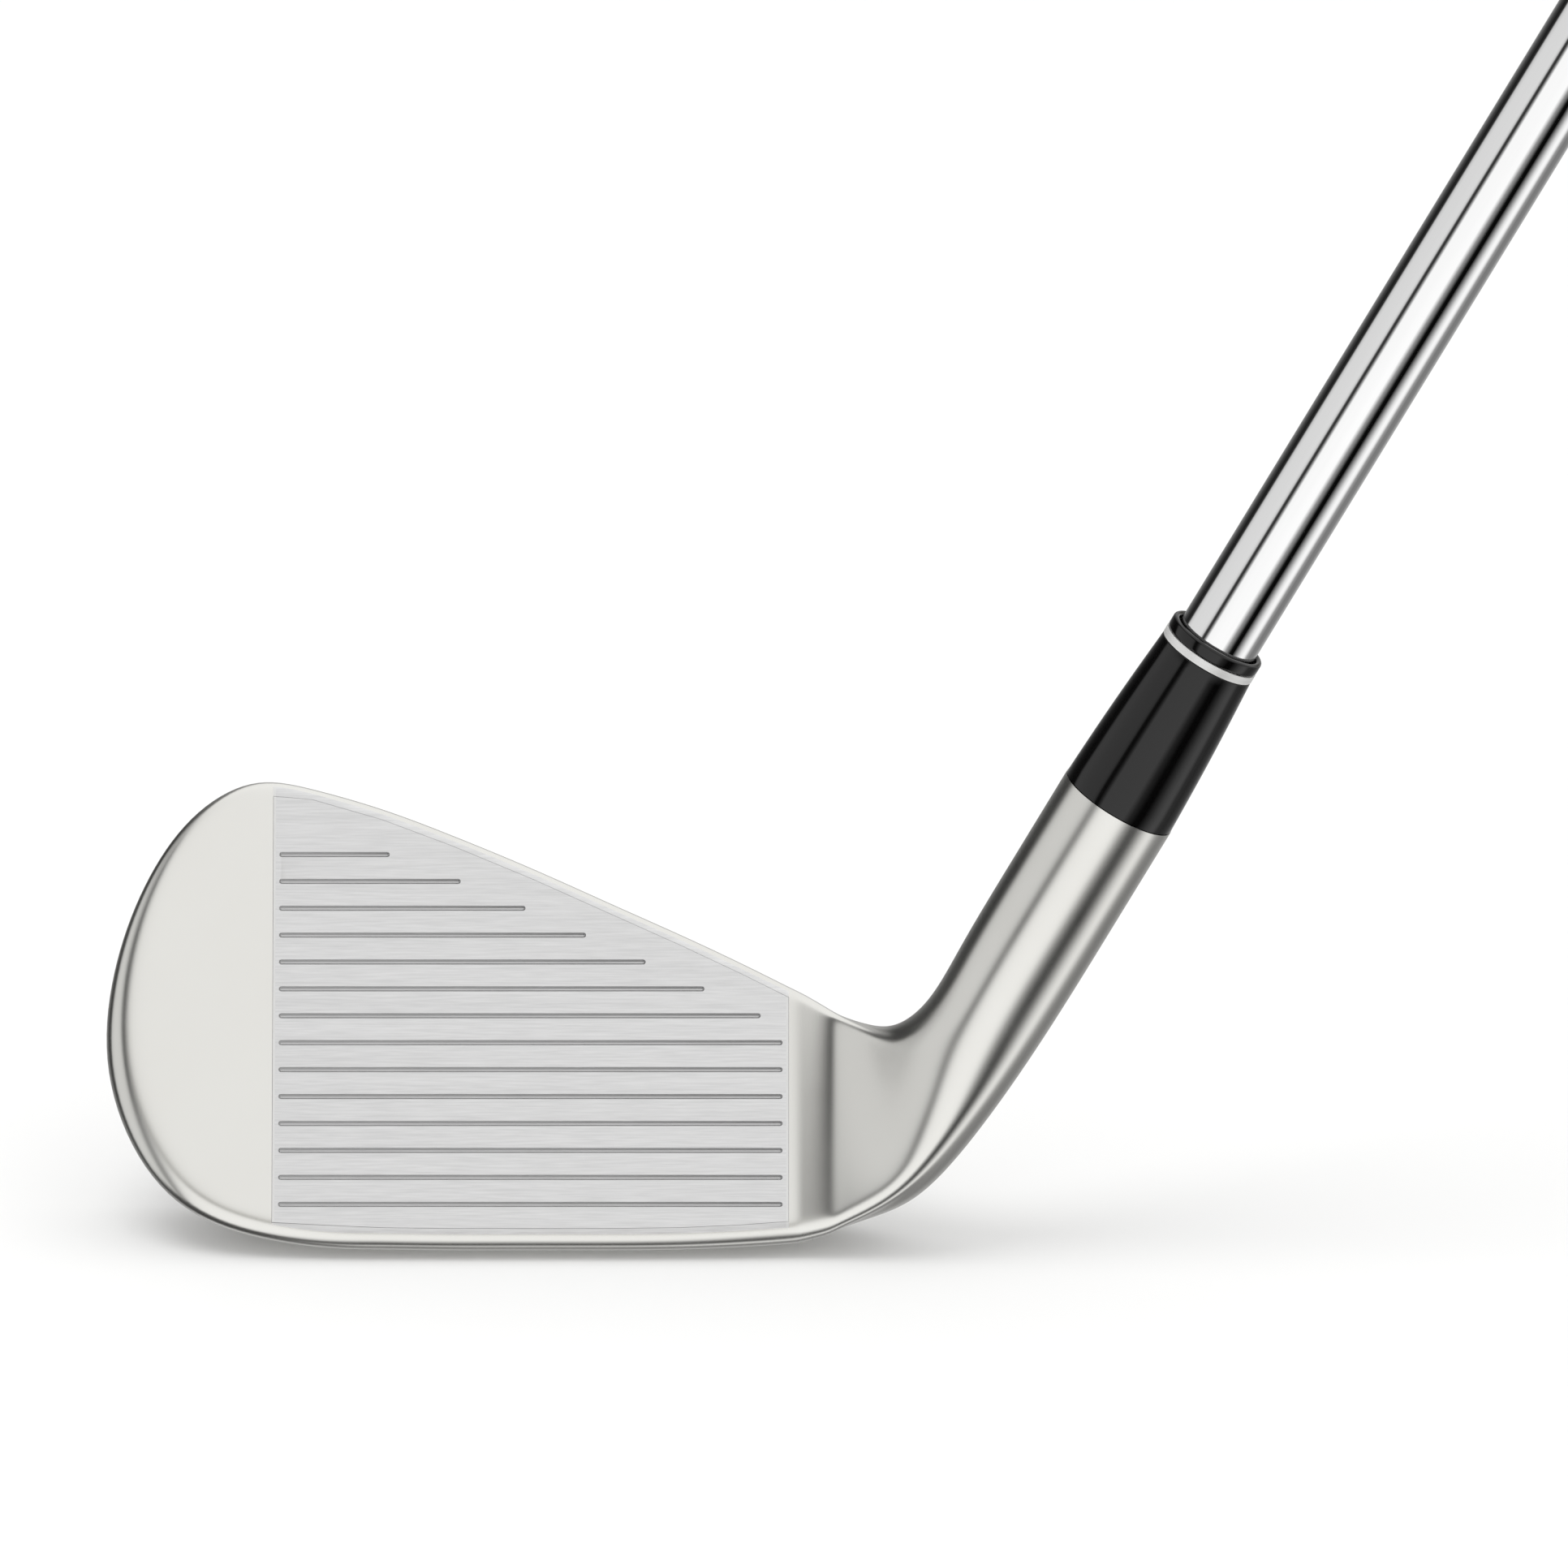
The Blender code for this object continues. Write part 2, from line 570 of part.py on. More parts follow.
def grip(parts, rubber, tape, band):
    cap_foot = CLUB_LENGTH - CAP_HEIGHT
    tape_radius = BUTT_RADIUS + 0.25
    tape_outer = tape_radius + 0.25
    tube("grip_tape", SHAFT_BUTT, GRIP_MOUTH + 4, tape_outer, tape_outer, tape_radius, parts, tape)
    bore = tape_radius + 0.55
    sleeve_top = cap_foot - GAP / 2
    outer = [(GRIP_BUTT_RADIUS, sleeve_top), (GRIP_BUTT_RADIUS - 0.35, sleeve_top - 12),
             (GRIP_BUTT_RADIUS - 1.3, sleeve_top - 70), (GRIP_MOUTH_RADIUS + 0.9, GRIP_MOUTH + 70),
             (GRIP_MOUTH_RADIUS, GRIP_MOUTH + 1.2), (GRIP_MOUTH_RADIUS - 0.5, GRIP_MOUTH)]
    turned("grip_sleeve", outer, parts, SHAFT_FRAME, 32, rubber, [(bore, GRIP_MOUTH), (bore, sleeve_top)])
    radius = GRIP_BUTT_RADIUS + 0.35
    cap = [(radius - 1.2, CLUB_LENGTH), (radius - 0.3, CLUB_LENGTH - 0.5), (radius, CLUB_LENGTH - 1.4),
           (radius, cap_foot + GAP / 2)]
    vent = [(VENT_RADIUS, cap_foot + GAP / 2), (VENT_RADIUS, CLUB_LENGTH)]
    turned("grip_cap", cap, parts, SHAFT_FRAME, 32, rubber, vent)
    band_radius = BUTT_RADIUS + 0.45
    tube("shaft_band", GRIP_MOUTH - 12, GRIP_MOUTH - 30, band_radius, band_radius, BUTT_RADIUS + 0.2,
         parts, band)


def main():
    clear_scene()
    parts = new_collection("iron_golf_club")
    cutters = new_collection("cutters")
    satin = material("satin_chrome", (0.72, 0.71, 0.68), 0.28, 1.0)
    milled = material("milled_steel", (0.66, 0.66, 0.65), 0.45, 1.0)
    chrome = material("mirror_chrome", (0.85, 0.85, 0.85), 0.05, 1.0)
    black = material("gloss_black", (0.012, 0.012, 0.012), 0.18, 0.0)
    silver = material("trim_silver", (0.75, 0.75, 0.74), 0.30, 1.0)
    rubber = material("grip_rubber", (0.02, 0.02, 0.022), 0.75, 0.0)
    polymer = material("damper_polymer", (0.05, 0.05, 0.055), 0.6, 0.0)
    tape = material("tape", (0.75, 0.72, 0.62), 0.7, 0.0)
    adhesive = material("epoxy", (0.55, 0.50, 0.35), 0.4, 0.0)
    badge = material("badge_metal", (0.35, 0.36, 0.38), 0.35, 1.0)
    brass = material("brass", (0.70, 0.52, 0.25), 0.35, 1.0)
    cork = material("cork", (0.50, 0.34, 0.20), 0.9, 0.0)

    head_body(parts, cutters, satin)
    face_plate(parts, cutters, milled)
    cavity_pieces(parts, polymer, tape, badge)
    hosel_pieces(parts, adhesive, brass, cork)
    ferrule(parts, black, silver)
    shaft(parts, chrome)
    grip(parts, rubber, tape, silver)


main()
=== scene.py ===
"""Right-handed cavity-back iron: satin head, milled panel, black ferrule, chromed shaft, moulded grip.

Frame, in metres: the sole stands on the ground at the origin, +X runs from toe to heel, -Y is where the
face looks and +Z is up. Outlines on the head are given on the face plane, in millimetres, as (x, w): x
towards the heel, w up the face. A third number, d, is the depth behind the face.
"""

from math import asin, cos, pi, radians, sin

import bmesh
import bpy
from mathutils import Euler, Matrix, Vector


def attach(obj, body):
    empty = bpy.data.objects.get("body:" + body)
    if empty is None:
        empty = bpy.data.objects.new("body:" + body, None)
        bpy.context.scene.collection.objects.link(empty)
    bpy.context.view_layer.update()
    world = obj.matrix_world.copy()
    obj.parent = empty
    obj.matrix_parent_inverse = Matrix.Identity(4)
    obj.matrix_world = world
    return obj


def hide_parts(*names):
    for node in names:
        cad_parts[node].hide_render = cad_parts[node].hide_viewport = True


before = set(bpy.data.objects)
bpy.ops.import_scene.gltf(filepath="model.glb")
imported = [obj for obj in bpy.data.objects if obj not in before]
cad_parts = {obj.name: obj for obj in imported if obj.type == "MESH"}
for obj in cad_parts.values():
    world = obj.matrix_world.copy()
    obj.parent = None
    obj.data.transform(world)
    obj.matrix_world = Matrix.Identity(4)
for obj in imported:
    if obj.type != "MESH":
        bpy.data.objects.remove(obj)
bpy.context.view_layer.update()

MM = 0.001
LOFT = radians(30)
LIE = radians(60)
CLUB_LENGTH = 940.0
FACE_Y, FACE_Z = -7.745, 3.720  # where the flat of the face starts, above the middle of the leading edge
SEAM = 0.03  # clearance between pieces that show no gap

# Hosel and shaft, measured along the shaft's axis from the ground
AXIS_X, AXIS_Y = 35.58, -4.65
HOSEL_RADIUS = 6.85
HOSEL_TOP = 62.34
BORE_RADIUS, BORE_BOTTOM = 5.55, 31.4
SHAFT_TIP, SHAFT_BUTT = 33.0, CLUB_LENGTH - 4.2
TIP_RADIUS, BUTT_RADIUS, WALL = 4.75, 7.62, 0.55
FIRST_STEP, LAST_STEP, STEPS = 215.0, 640.0, 13
STEP_HALF = 0.9  # half the height over which a step narrows
BORE_TAPER = 8.0  # how far past the outer steps the bore starts to widen

# Ferrule
FERRULE_TOP = HOSEL_TOP + 22.4
RING_FOOT = HOSEL_TOP + 19.86
RING_HEIGHT, RING_RADIUS = 1.0, 5.72
FERRULE_RADIUS, FERRULE_BORE, FERRULE_BULGE = 6.8, 5.0, 0.12
FERRULE_RINGS = 10  # rings of the collar between its two ends

# Grip
GRIP_MOUTH = CLUB_LENGTH - 267.0
GRIP_MOUTH_RADIUS, GRIP_BUTT_RADIUS = 9.75, 13.4
GRIP_BORE = 8.42
LIP_GROOVE = 0.45  # depth of the groove behind the rolled lip at the mouth
FLARE, FLARE_FROM = 0.9, 0.75  # how much wider the butt flares, and from which share of the length
PAD_ROWS, PADS_ROUND = 62, 48
PLAIN_ROWS = (0, 14, 15, 30, 31, 46, 47, PAD_ROWS - 1)  # plain bands between the pads
PAD_EDGE, PAD_SLOPE, PAD_SUNK = 0.26, 0.12, 0.28
CAP_HEIGHT, CAP_GAP, CAP_OVERHANG = 3.2, 0.15, 0.35
VENT_RADIUS, VENT_MOUTH = 1.2, 2.0
BAND_TOP, BAND_FOOT = GRIP_MOUTH - 12, GRIP_MOUTH - 30

# Head outline on the face plane: topline from heel to toe, round the toe, sole from heel to toe
TOPLINE = ((30, 28.15), (24, 31.2), (17, 34.55), (9, 38.2), (0, 42.3), (-9, 46.1), (-17, 49.15),
           (-25, 51.5), (-32, 52.1))
TOE = ((-38.8, 48.0), (-44.1, 40.0), (-47.4, 29.5), (-47.6, 17.5), (-43.2, 6.6))
SOLE = ((30, -1.65), (24, -2.1), (17, -2.42), (9, -2.516), (0, -2.516), (-9, -2.516), (-17, -2.42),
        (-25, -2.05), (-35.5, 0.4))
# Edge of the back cavity round the toe: (x, w, d)
CAVITY_TOE = ((-31.0, 46.8, 7.3), (-36.0, 43.6, 7.5), (-39.8, 37.6, 8.0), (-41.8, 31.5, 8.8),
              (-41.0, 25.0, 9.4), (-38.0, 20.8, 9.2), (-33.5, 19.2, 8.8))
TOPLINE_THICKNESS, TOPLINE_LAND = 7.0, 4.6
MUSCLE_HEIGHT, MUSCLE_DEPTH = 18.5, 8.5
SOLE_WIDTH, SOLE_CAMBER = 21.1, 1.541
HEEL_NARROWING = (0.86, 0.95, 0.99)  # the sole's width at its three heel points, as a share
CONTACT = ((0.277, 1), (0.377, 1), (0.477, 1), (0.577, 1), (0.78, 0.62))  # along the sole, and its camber
CAVITY_WALL = 0.62  # how far up the rear wall the cage has a point, as a share
FLOOR_DEPTH = 3.6
ROWS = 6  # rows of cage faces between topline and sole
HEAD_LEVELS = 3  # times the cage is subdivided

# How far each toe point belongs to the sole, the size of its rounded front edge, and its draft
TOE_SOLENESS = (0.03, 0.12, 0.32, 0.62, 0.90)
TOE_FRONT = (0.75, 0.95, 1.25, 1.60, 1.70)
TOE_DRAFT = (0.7, 1.2, 1.8, 1.6, 0.8)
TOPLINE_FRONT, SOLE_FRONT = 0.67, 1.49
TOPLINE_BACK, SOLE_BACK = 0.7, 1.3
TOPLINE_DRAFT, TOPLINE_CAMBER = 0.4, 0.12
ROLL = 2.4  # a cage holds a rounded edge with points one and ROLL sizes either side of the corner

# Heel rings: crotch side (x, y, z), heel side (x, y, z), how round the ring is in front at the top, in
# front at the sole, and behind, and the sole's relief
HEEL = (
    ((31.4, 5.96, 27.57), (31.3, -8.52, 2.40), 0.02, 0.03, 0.08, 0.0),
    ((33.6, 5.22, 26.53), (33.7, -8.49, 2.81), 0.035, 0.08, 0.14, 0.5),
    ((35.4, 4.35, 25.85), (35.8, -8.4, 3.35), 0.05, 0.18, 0.235, 0.7),
    ((38.0, 2.60, 25.45), (40.0, -8.1, 4.70), 0.18, 0.44, 0.42, 0.6),
    ((40.9, 0.20, 25.75), (44.8, -7.2, 7.60), 0.48, 0.82, 0.65, 0.3),
    ((43.7, -2.20, 27.90), (50.2, -5.9, 13.70), 0.80, 0.92, 0.87, 0.0),
    ((46.3, -3.80, 31.60), (55.9, -4.9, 21.94), 0.95, 0.97, 0.97, 0.0),
)
HOSEL_RINGS = (39.5, 50.0, 61.6, HOSEL_TOP)

# Hitting panel and its grooves
PANEL_HALF = 29.4
PANEL_THICKNESS, PANEL_BACK_GAP = 2.0, 0.3
PANEL_TOP_MARGIN, PANEL_BOTTOM_MARGIN = 1.45, 2.75
GROOVES, GROOVE_PITCH, GROOVE_FIRST = 14, 3.126, 3.01
GROOVE_HALF, GROOVE_WIDTH, GROOVE_DEPTH = 28.7, 0.6, 0.42
GROOVE_MARGIN = 5.15  # from a groove's end down to the topline
CHANNEL_LEFT, CHANNEL_RIGHT, CHANNEL_FOOT, CHANNEL_MARGIN = -26.0, 12.0, 22.0, 8.4
CHANNEL_CORNER = 2.5

# Badge
BADGE_HEEL, BADGE_FOOT, BADGE_TOP = 14.2, 21.3, 7.7
BADGE_NEAR, BADGE_FAR, BADGE_BORDER = 4.8, 5.5, 1.4
BADGE_SUNK, BADGE_CORNER = 0.2, 1.2
BADGE_MIDDLE = Vector((-10, 30))
BADGE_TOE = ((-30.3, 44.0), (-34.4, 41.2), (-37.3, 36.3), (-38.9, 31.2), (-38.4, 26.3),
             (-36.2, 22.9), (-32.5, 21.3))

FACE_PLACE = Vector((0, FACE_Y * MM, FACE_Z * MM))
FACE_TURN = Euler((pi / 2 - LOFT, 0, 0))
FACE_NORMAL = Vector((0, -cos(LOFT), sin(LOFT)))
SHAFT_PLACE = Vector((AXIS_X * MM, AXIS_Y * MM, 0))
SHAFT_TURN = Euler((0, pi / 2 - LIE, 0))
SHAFT_FRAME = Matrix.Translation(SHAFT_PLACE) @ SHAFT_TURN.to_matrix().to_4x4()


# ---------------------------------------------------------------- working by hand

def select_nothing():
    bpy.ops.object.select_all(action="DESELECT")


def take(piece):
    """Makes this the one selected, active object."""
    select_nothing()
    piece.select_set(True)
    bpy.context.view_layer.objects.active = piece


def into_edit(piece):
    take(piece)
    bpy.ops.object.mode_set(mode="EDIT")
    bpy.ops.mesh.select_all(action="SELECT")


def out_of_edit():
    bpy.ops.object.mode_set(mode="OBJECT")


def settle(piece):
    """Leaves the object at the origin, unturned and unscaled, with its place in its mesh."""
    take(piece)
    bpy.ops.object.transform_apply(location=True, rotation=True, scale=True)


def close_up(piece):
    into_edit(piece)
    bpy.ops.mesh.remove_doubles(threshold=1e-6)
    bpy.ops.mesh.normals_make_consistent(inside=False)
    out_of_edit()


def smooth(piece, angle=30):
    take(piece)
    bpy.ops.object.shade_smooth_by_angle(angle=radians(angle))


def apply_modifier(piece, modifier):
    take(piece)
    bpy.ops.object.modifier_apply(modifier=modifier.name)


def round_edges(piece, width, segments=3, angle=40):
    bevel = piece.modifiers.new("rounded edges", "BEVEL")
    bevel.width = width * MM
    bevel.segments = segments
    bevel.limit_method = "ANGLE"
    bevel.angle_limit = radians(angle)
    apply_modifier(piece, bevel)


def carve(piece, cutter):
    boolean = piece.modifiers.new("carve", "BOOLEAN")
    boolean.operation = "DIFFERENCE"
    boolean.solver = "EXACT"
    boolean.object = cutter
    apply_modifier(piece, boolean)
    bpy.data.objects.remove(cutter)


def turned(name, profile, segments=96, closed=False):
    """A turned piece on the upright axis: a circle drawn out ring by ring through (radius, height)."""
    select_nothing()
    radius, height = profile[0]
    bpy.ops.mesh.primitive_circle_add(vertices=segments, radius=radius * MM, location=(0, 0, height * MM))
    piece = bpy.context.object
    piece.name = name
    into_edit(piece)
    rest = [*profile[1:], profile[0]] if closed else profile[1:]
    for new_radius, new_height in rest:
        rise = (new_height - height) * MM
        bpy.ops.mesh.extrude_region_move(TRANSFORM_OT_translate={"value": (0, 0, rise)})
        share = new_radius / radius
        bpy.ops.transform.resize(value=(share, share, 1), center_override=(0, 0, new_height * MM))
        radius, height = new_radius, new_height
    out_of_edit()
    settle(piece)
    close_up(piece)
    return piece


def stand_on_axis(piece):
    piece.matrix_world = SHAFT_FRAME
    settle(piece)


def face_point(x, w, d):
    """A point given on the face plane and d behind it, in millimetres of the club's frame."""
    return Vector((x, FACE_Y + w * sin(LOFT) + d * cos(LOFT), FACE_Z + w * cos(LOFT) - d * sin(LOFT)))


def flat_piece(name, outline, near, far):
    """A flat piece with this outline, from depth near to depth far. Its far face is left selected."""
    select_nothing()
    bpy.ops.mesh.primitive_circle_add(vertices=len(outline), radius=1, fill_type="NGON")
    piece = bpy.context.object
    piece.name = name
    for vertex, (x, w) in zip(piece.data.vertices, outline):
        vertex.co = face_point(x, w, near) * MM
    piece.data.update()
    into_edit(piece)
    if piece.data.polygons[0].normal.dot(FACE_NORMAL) > 0:
        bpy.ops.mesh.flip_normals()
    bpy.ops.mesh.extrude_region_move(TRANSFORM_OT_translate={"value": -FACE_NORMAL * (far - near) * MM})
    out_of_edit()
    return piece


# ---------------------------------------------------------------- the head's cage

def height_at(line, x):
    """Height w of the topline or the sole at x, between its points."""
    for (x1, w1), (x0, w0) in zip(line, line[1:]):
        if x0 <= x <= x1:
            return w0 + (w1 - w0) * (x - x0) / (x1 - x0)
    return line[0][1] if x > line[0][0] else line[-1][1]


def held(points, rounds=8):
    """Cage points whose subdivided curve passes through these points."""
    cage = [p.copy() for p in points]
    for _ in range(rounds):
        reached = [(a + 4 * b + c) / 6 for a, b, c in zip(cage, cage[1:], cage[2:])]
        for i, point in enumerate(reached, 1):
            cage[i] += points[i] - point
    return cage


def outline_sections():
    """Stations round the blade, each a row of cage points from the face, over the rim, to the cavity."""
    top, toe, sole = len(TOPLINE), len(TOE), len(SOLE)
    given = [Vector((x, w)) for x, w in (*TOPLINE, *TOE, *reversed(SOLE))]
    places = held(given)
    soleness = [0.0] * top + list(TOE_SOLENESS) + [1.0] * sole
    front = [TOPLINE_FRONT] * top + list(TOE_FRONT) + [SOLE_FRONT] * sole
    draft = [TOPLINE_DRAFT] * top + list(TOE_DRAFT) + [0.0] * sole
    widths = [1.0] * (len(given) - len(HEEL_NARROWING)) + list(reversed(HEEL_NARROWING))
    edges = [Vector((x, w - TOPLINE_LAND, TOPLINE_THICKNESS + 0.2)) for x, w in TOPLINE[:-1]]
    edges += [Vector(edge) for edge in CAVITY_TOE]
    edges += [Vector((x, MUSCLE_HEIGHT, MUSCLE_DEPTH)) for x, w in reversed(SOLE[:-1])]
    sections = []
    for i, place in enumerate(places):
        along = given[min(i + 1, len(given) - 1)] - given[max(i - 1, 0)]
        outward = Vector((along.y, -along.x)).normalized()
        if i >= top + toe and given[i].x > SOLE[-1][0]:
            outward = Vector((0, -1))  # along the straight of the sole
        sections.append(cross_section(place, outward, soleness[i], front[i], draft[i], edges[i], widths[i]))
    return sections


def cross_section(place, outward, soleness, front, draft, edge, width):
    """One station: rounded front edge, cambered rim, rounded rear edge, and the wall up to the cavity."""
    out = Vector((outward.x, outward.y, 0))
    corner = Vector((place.x, place.y, 0))
    lift = soleness * width * SOLE_WIDTH * sin(LOFT)
    depth = TOPLINE_THICKNESS + soleness * (width * SOLE_WIDTH * cos(LOFT) - TOPLINE_THICKNESS)
    rear = corner + Vector((0, lift, depth)) - draft * out
    chord = rear - corner
    bulge = out - chord * (out.dot(chord) / chord.dot(chord))
    bulge = bulge.normalized() * (TOPLINE_CAMBER + (SOLE_CAMBER - TOPLINE_CAMBER) * soleness)
    middle = [corner + chord * share + bulge * height for share, height in CONTACT]
    back = TOPLINE_BACK + (SOLE_BACK - TOPLINE_BACK) * soleness
    start = (middle[0] - corner).normalized()
    end = (middle[-1] - rear).normalized()
    up_back = (edge - rear).normalized()
    return [
        corner - out * front * ROLL,
        corner - out * front,
        corner + start * front,
        corner + start * front * ROLL,
        *middle,
        rear + end * back * ROLL,
        rear + end * back,
        rear + up_back * back,
        rear + up_back * back * ROLL,
        rear.lerp(edge, CAVITY_WALL),
        edge,
    ]


def depth_direction(span):
    """Backwards, square to the ring's span."""
    back = Vector((0, 1, 0))
    return (back - span * (back.dot(span) / span.dot(span))).normalized()


def heel_rings(ring, corner_top, corner_sole):
    """Rings that turn the blade's end into the round hosel."""
    count = len(ring)
    span = corner_top - corner_sole
    across = depth_direction(span)
    flat = [((p - corner_sole).dot(span) / span.dot(span), (p - corner_sole).dot(across)) for p in ring]
    swell = 3 / (2 + cos(2 * pi / count))
    angles = [(n - (count - 2 * (ROWS - 1)) / 4 + 0.5) * 2 * pi / count for n in range(count)]
    tops = [Vector(row[0]) for row in HEEL]
    soles = [Vector(row[1]) for row in HEEL]
    shares = [row[2:] for row in HEEL] + [(1.0, 1.0, 1.0, 0.0)] * len(HOSEL_RINGS)
    axis = Vector((cos(LIE), 0, sin(LIE)))
    side = Vector((-sin(LIE), 0, cos(LIE)))
    for along in HOSEL_RINGS:
        centre = Vector((AXIS_X, AXIS_Y, 0)) + axis * along
        tops.append(centre + side * HOSEL_RADIUS)
        soles.append(centre - side * HOSEL_RADIUS)
    fixed = len(HOSEL_RINGS)
    tops = held([corner_top, *tops])[1:-fixed] + tops[-fixed:]
    soles = held([corner_sole, *soles])[1:-fixed] + soles[-fixed:]
    strip = (count - 2 * (ROWS - 1)) // 2
    sole_first = strip + ROWS - 1
    rings = []
    for top, sole, (front_top, front_sole, back, relief) in zip(tops, soles, shares):
        span = top - sole
        across = depth_direction(span)
        points = []
        for n, ((along, deep), angle) in enumerate(zip(flat, angles)):
            behind = (1 + sin(angle)) / 2
            front = front_sole + (front_top - front_sole) * (1 + cos(angle)) / 2
            share = front + (back - front) * behind
            along += (0.5 + 0.5 * cos(angle) * swell - along) * share
            deep += (HOSEL_RADIUS * sin(angle) * swell - deep) * share
            point = sole + span * along + across * deep
            if sole_first <= n < sole_first + strip - 3:
                point.z += relief * (1 - behind)
            points.append(point)
        rings.append(points)
    return rings


def head_cage(mesh):
    """Fills the bmesh with the head's cage and returns its cavity faces and its hosel-top face."""
    sections = [[face_point(*p) for p in section] for section in outline_sections()]
    strips = [[mesh.verts.new(p) for p in section] for section in sections]
    columns = len(TOPLINE)
    last = len(strips) - 1
    for a, b in zip(strips, strips[1:]):
        for k in range(len(a) - 1):
            mesh.faces.new((a[k], a[k + 1], b[k + 1], b[k]))

    def grid(k):
        rows = [[strips[m][k] for m in range(columns)]]
        for r in range(1, ROWS):
            row = []
            for m in range(columns - 1):
                upper, lower = strips[m][k].co, strips[last - m][k].co
                row.append(mesh.verts.new(upper.lerp(lower, r / ROWS)))
            rows.append([*row, strips[columns - 1 + r][k]])
        rows.append([strips[last - m][k] for m in range(columns)])
        return rows

    front, back = grid(0), grid(-1)
    cavity = []
    for r in range(ROWS):
        for m in range(columns - 1):
            mesh.faces.new((front[r][m], front[r][m + 1], front[r + 1][m + 1], front[r + 1][m]))
            made = mesh.faces.new((back[r][m], back[r + 1][m], back[r + 1][m + 1], back[r][m + 1]))
            if m >= 2:
                cavity.append(made)

    front_rows = [front[r][0] for r in range(1, ROWS)]
    back_rows = [back[r][0] for r in range(1, ROWS)]
    ring = [*strips[0], *back_rows, *reversed(strips[last]), *reversed(front_rows)]
    corner_top = face_point(*TOPLINE[0], 0)
    corner_sole = face_point(*SOLE[0], 0)
    for points in heel_rings([v.co.copy() for v in ring], corner_top, corner_sole):
        following = [mesh.verts.new(p) for p in points]
        for n in range(len(ring)):
            after = (n + 1) % len(ring)
            mesh.faces.new((ring[n], ring[after], following[after], following[n]))
        ring = following
    return cavity, mesh.faces.new(ring)


def depth_of(point):
    """How deep behind the face plane this point lies."""
    return (point.y - FACE_Y) * cos(LOFT) - (point.z - FACE_Z) * sin(LOFT)


def cavity_pocket(mesh, faces):
    """Insets the cavity's faces loop by loop and sinks them to the flat floor."""
    levels = (
        (0.8, lambda p: depth_of(p)),
        (0.4, lambda p: depth_of(p) - 0.7),
        (0.5, lambda p: FLOOR_DEPTH + 0.7),
        (0.6, lambda p: FLOOR_DEPTH),
    )
    for thickness, depth in levels:
        bmesh.ops.inset_region(mesh, faces=faces, thickness=thickness, use_even_offset=True)
        for vertex in {v for face in faces for v in face.verts}:
            vertex.co -= FACE_NORMAL * (depth(vertex.co) - depth_of(vertex.co))


def panel_outline(half, grow):
    """The hitting panel's outline on the face, as (x, w) points."""
    xs = [half, *(x for x, w in TOPLINE if -half < x < half), -half]
    top = [(x, height_at(TOPLINE, x) - PANEL_TOP_MARGIN + grow) for x in xs]
    toe_most = SOLE[-2][0] - 1  # past here the sole line already climbs round the toe
    margin = PANEL_BOTTOM_MARGIN - grow
    bottom = [(x, height_at(SOLE, max(x, toe_most)) + margin) for x in reversed(xs) if x]
    return top + bottom


def rounded(corners, radius, steps=4):
    """The polygon with each corner replaced by a short curve."""
    points = []
    for before, corner, after in zip(corners[-1:] + corners[:-1], corners, corners[1:] + corners[:1]):
        here = Vector(corner)
        start = here + (Vector(before) - here).normalized() * radius
        end = here + (Vector(after) - here).normalized() * radius
        for i in range(steps + 1):
            t = i / steps
            points.append(tuple(start * (1 - t) ** 2 + here * 2 * t * (1 - t) + end * t ** 2))
    return points


def channel_outline():
    """The opening behind the hitting panel."""
    left, right = CHANNEL_LEFT, CHANNEL_RIGHT
    corners = [
        (right, height_at(TOPLINE, right) - CHANNEL_MARGIN),
        (left, height_at(TOPLINE, left) - CHANNEL_MARGIN),
        (left, CHANNEL_FOOT),
        (right, CHANNEL_FOOT),
    ]
    return rounded(corners, CHANNEL_CORNER)


# ---------------------------------------------------------------- the pieces

def make_head():
    """The forged head: a cage of given points, smoothed, milled out for the panel and bored for the shaft.
    """
    work = bmesh.new()
    cavity, cap = head_cage(work)
    cavity_pocket(work, cavity)
    bmesh.ops.recalc_face_normals(work, faces=work.faces)
    crease = work.edges.layers.float.new("crease_edge")
    for edge in cap.edges:
        edge[crease] = 1.0
    bmesh.ops.scale(work, verts=work.verts, vec=(MM, MM, MM))
    mesh = bpy.data.meshes.new("head")
    work.to_mesh(mesh)
    work.free()
    head = bpy.data.objects.new("head", mesh)
    bpy.context.scene.collection.objects.link(head)
    surface = head.modifiers.new("smooth surface", "SUBSURF")
    surface.levels = surface.render_levels = HEAD_LEVELS
    apply_modifier(head, surface)
    smooth(head, 40)
    window_depth = PANEL_THICKNESS + PANEL_BACK_GAP
    carve(head, flat_piece("window", panel_outline(PANEL_HALF, SEAM), -1, window_depth))
    carve(head, flat_piece("channel", channel_outline(), 1, 6))
    bore = turned("bore", [(BORE_RADIUS, HOSEL_TOP + 5), (BORE_RADIUS, BORE_BOTTOM)])
    into_edit(bore)
    bpy.ops.mesh.select_all(action="DESELECT")
    bpy.ops.mesh.select_non_manifold()
    bpy.ops.mesh.edge_face_add()
    bpy.ops.mesh.select_all(action="SELECT")
    bpy.ops.mesh.normals_make_consistent(inside=False)
    out_of_edit()
    stand_on_axis(bore)
    carve(head, bore)
    smooth(head, 40)
    return head


def groove_ends():
    """(height, left end, right end) of each groove, from the lowest up."""
    ends = []
    for i in range(GROOVES):
        w = GROOVE_FIRST + i * GROOVE_PITCH
        right = GROOVE_HALF
        while height_at(TOPLINE, right) - w < GROOVE_MARGIN:
            right -= 0.1
        ends.append((w, -GROOVE_HALF, right))
    return ends


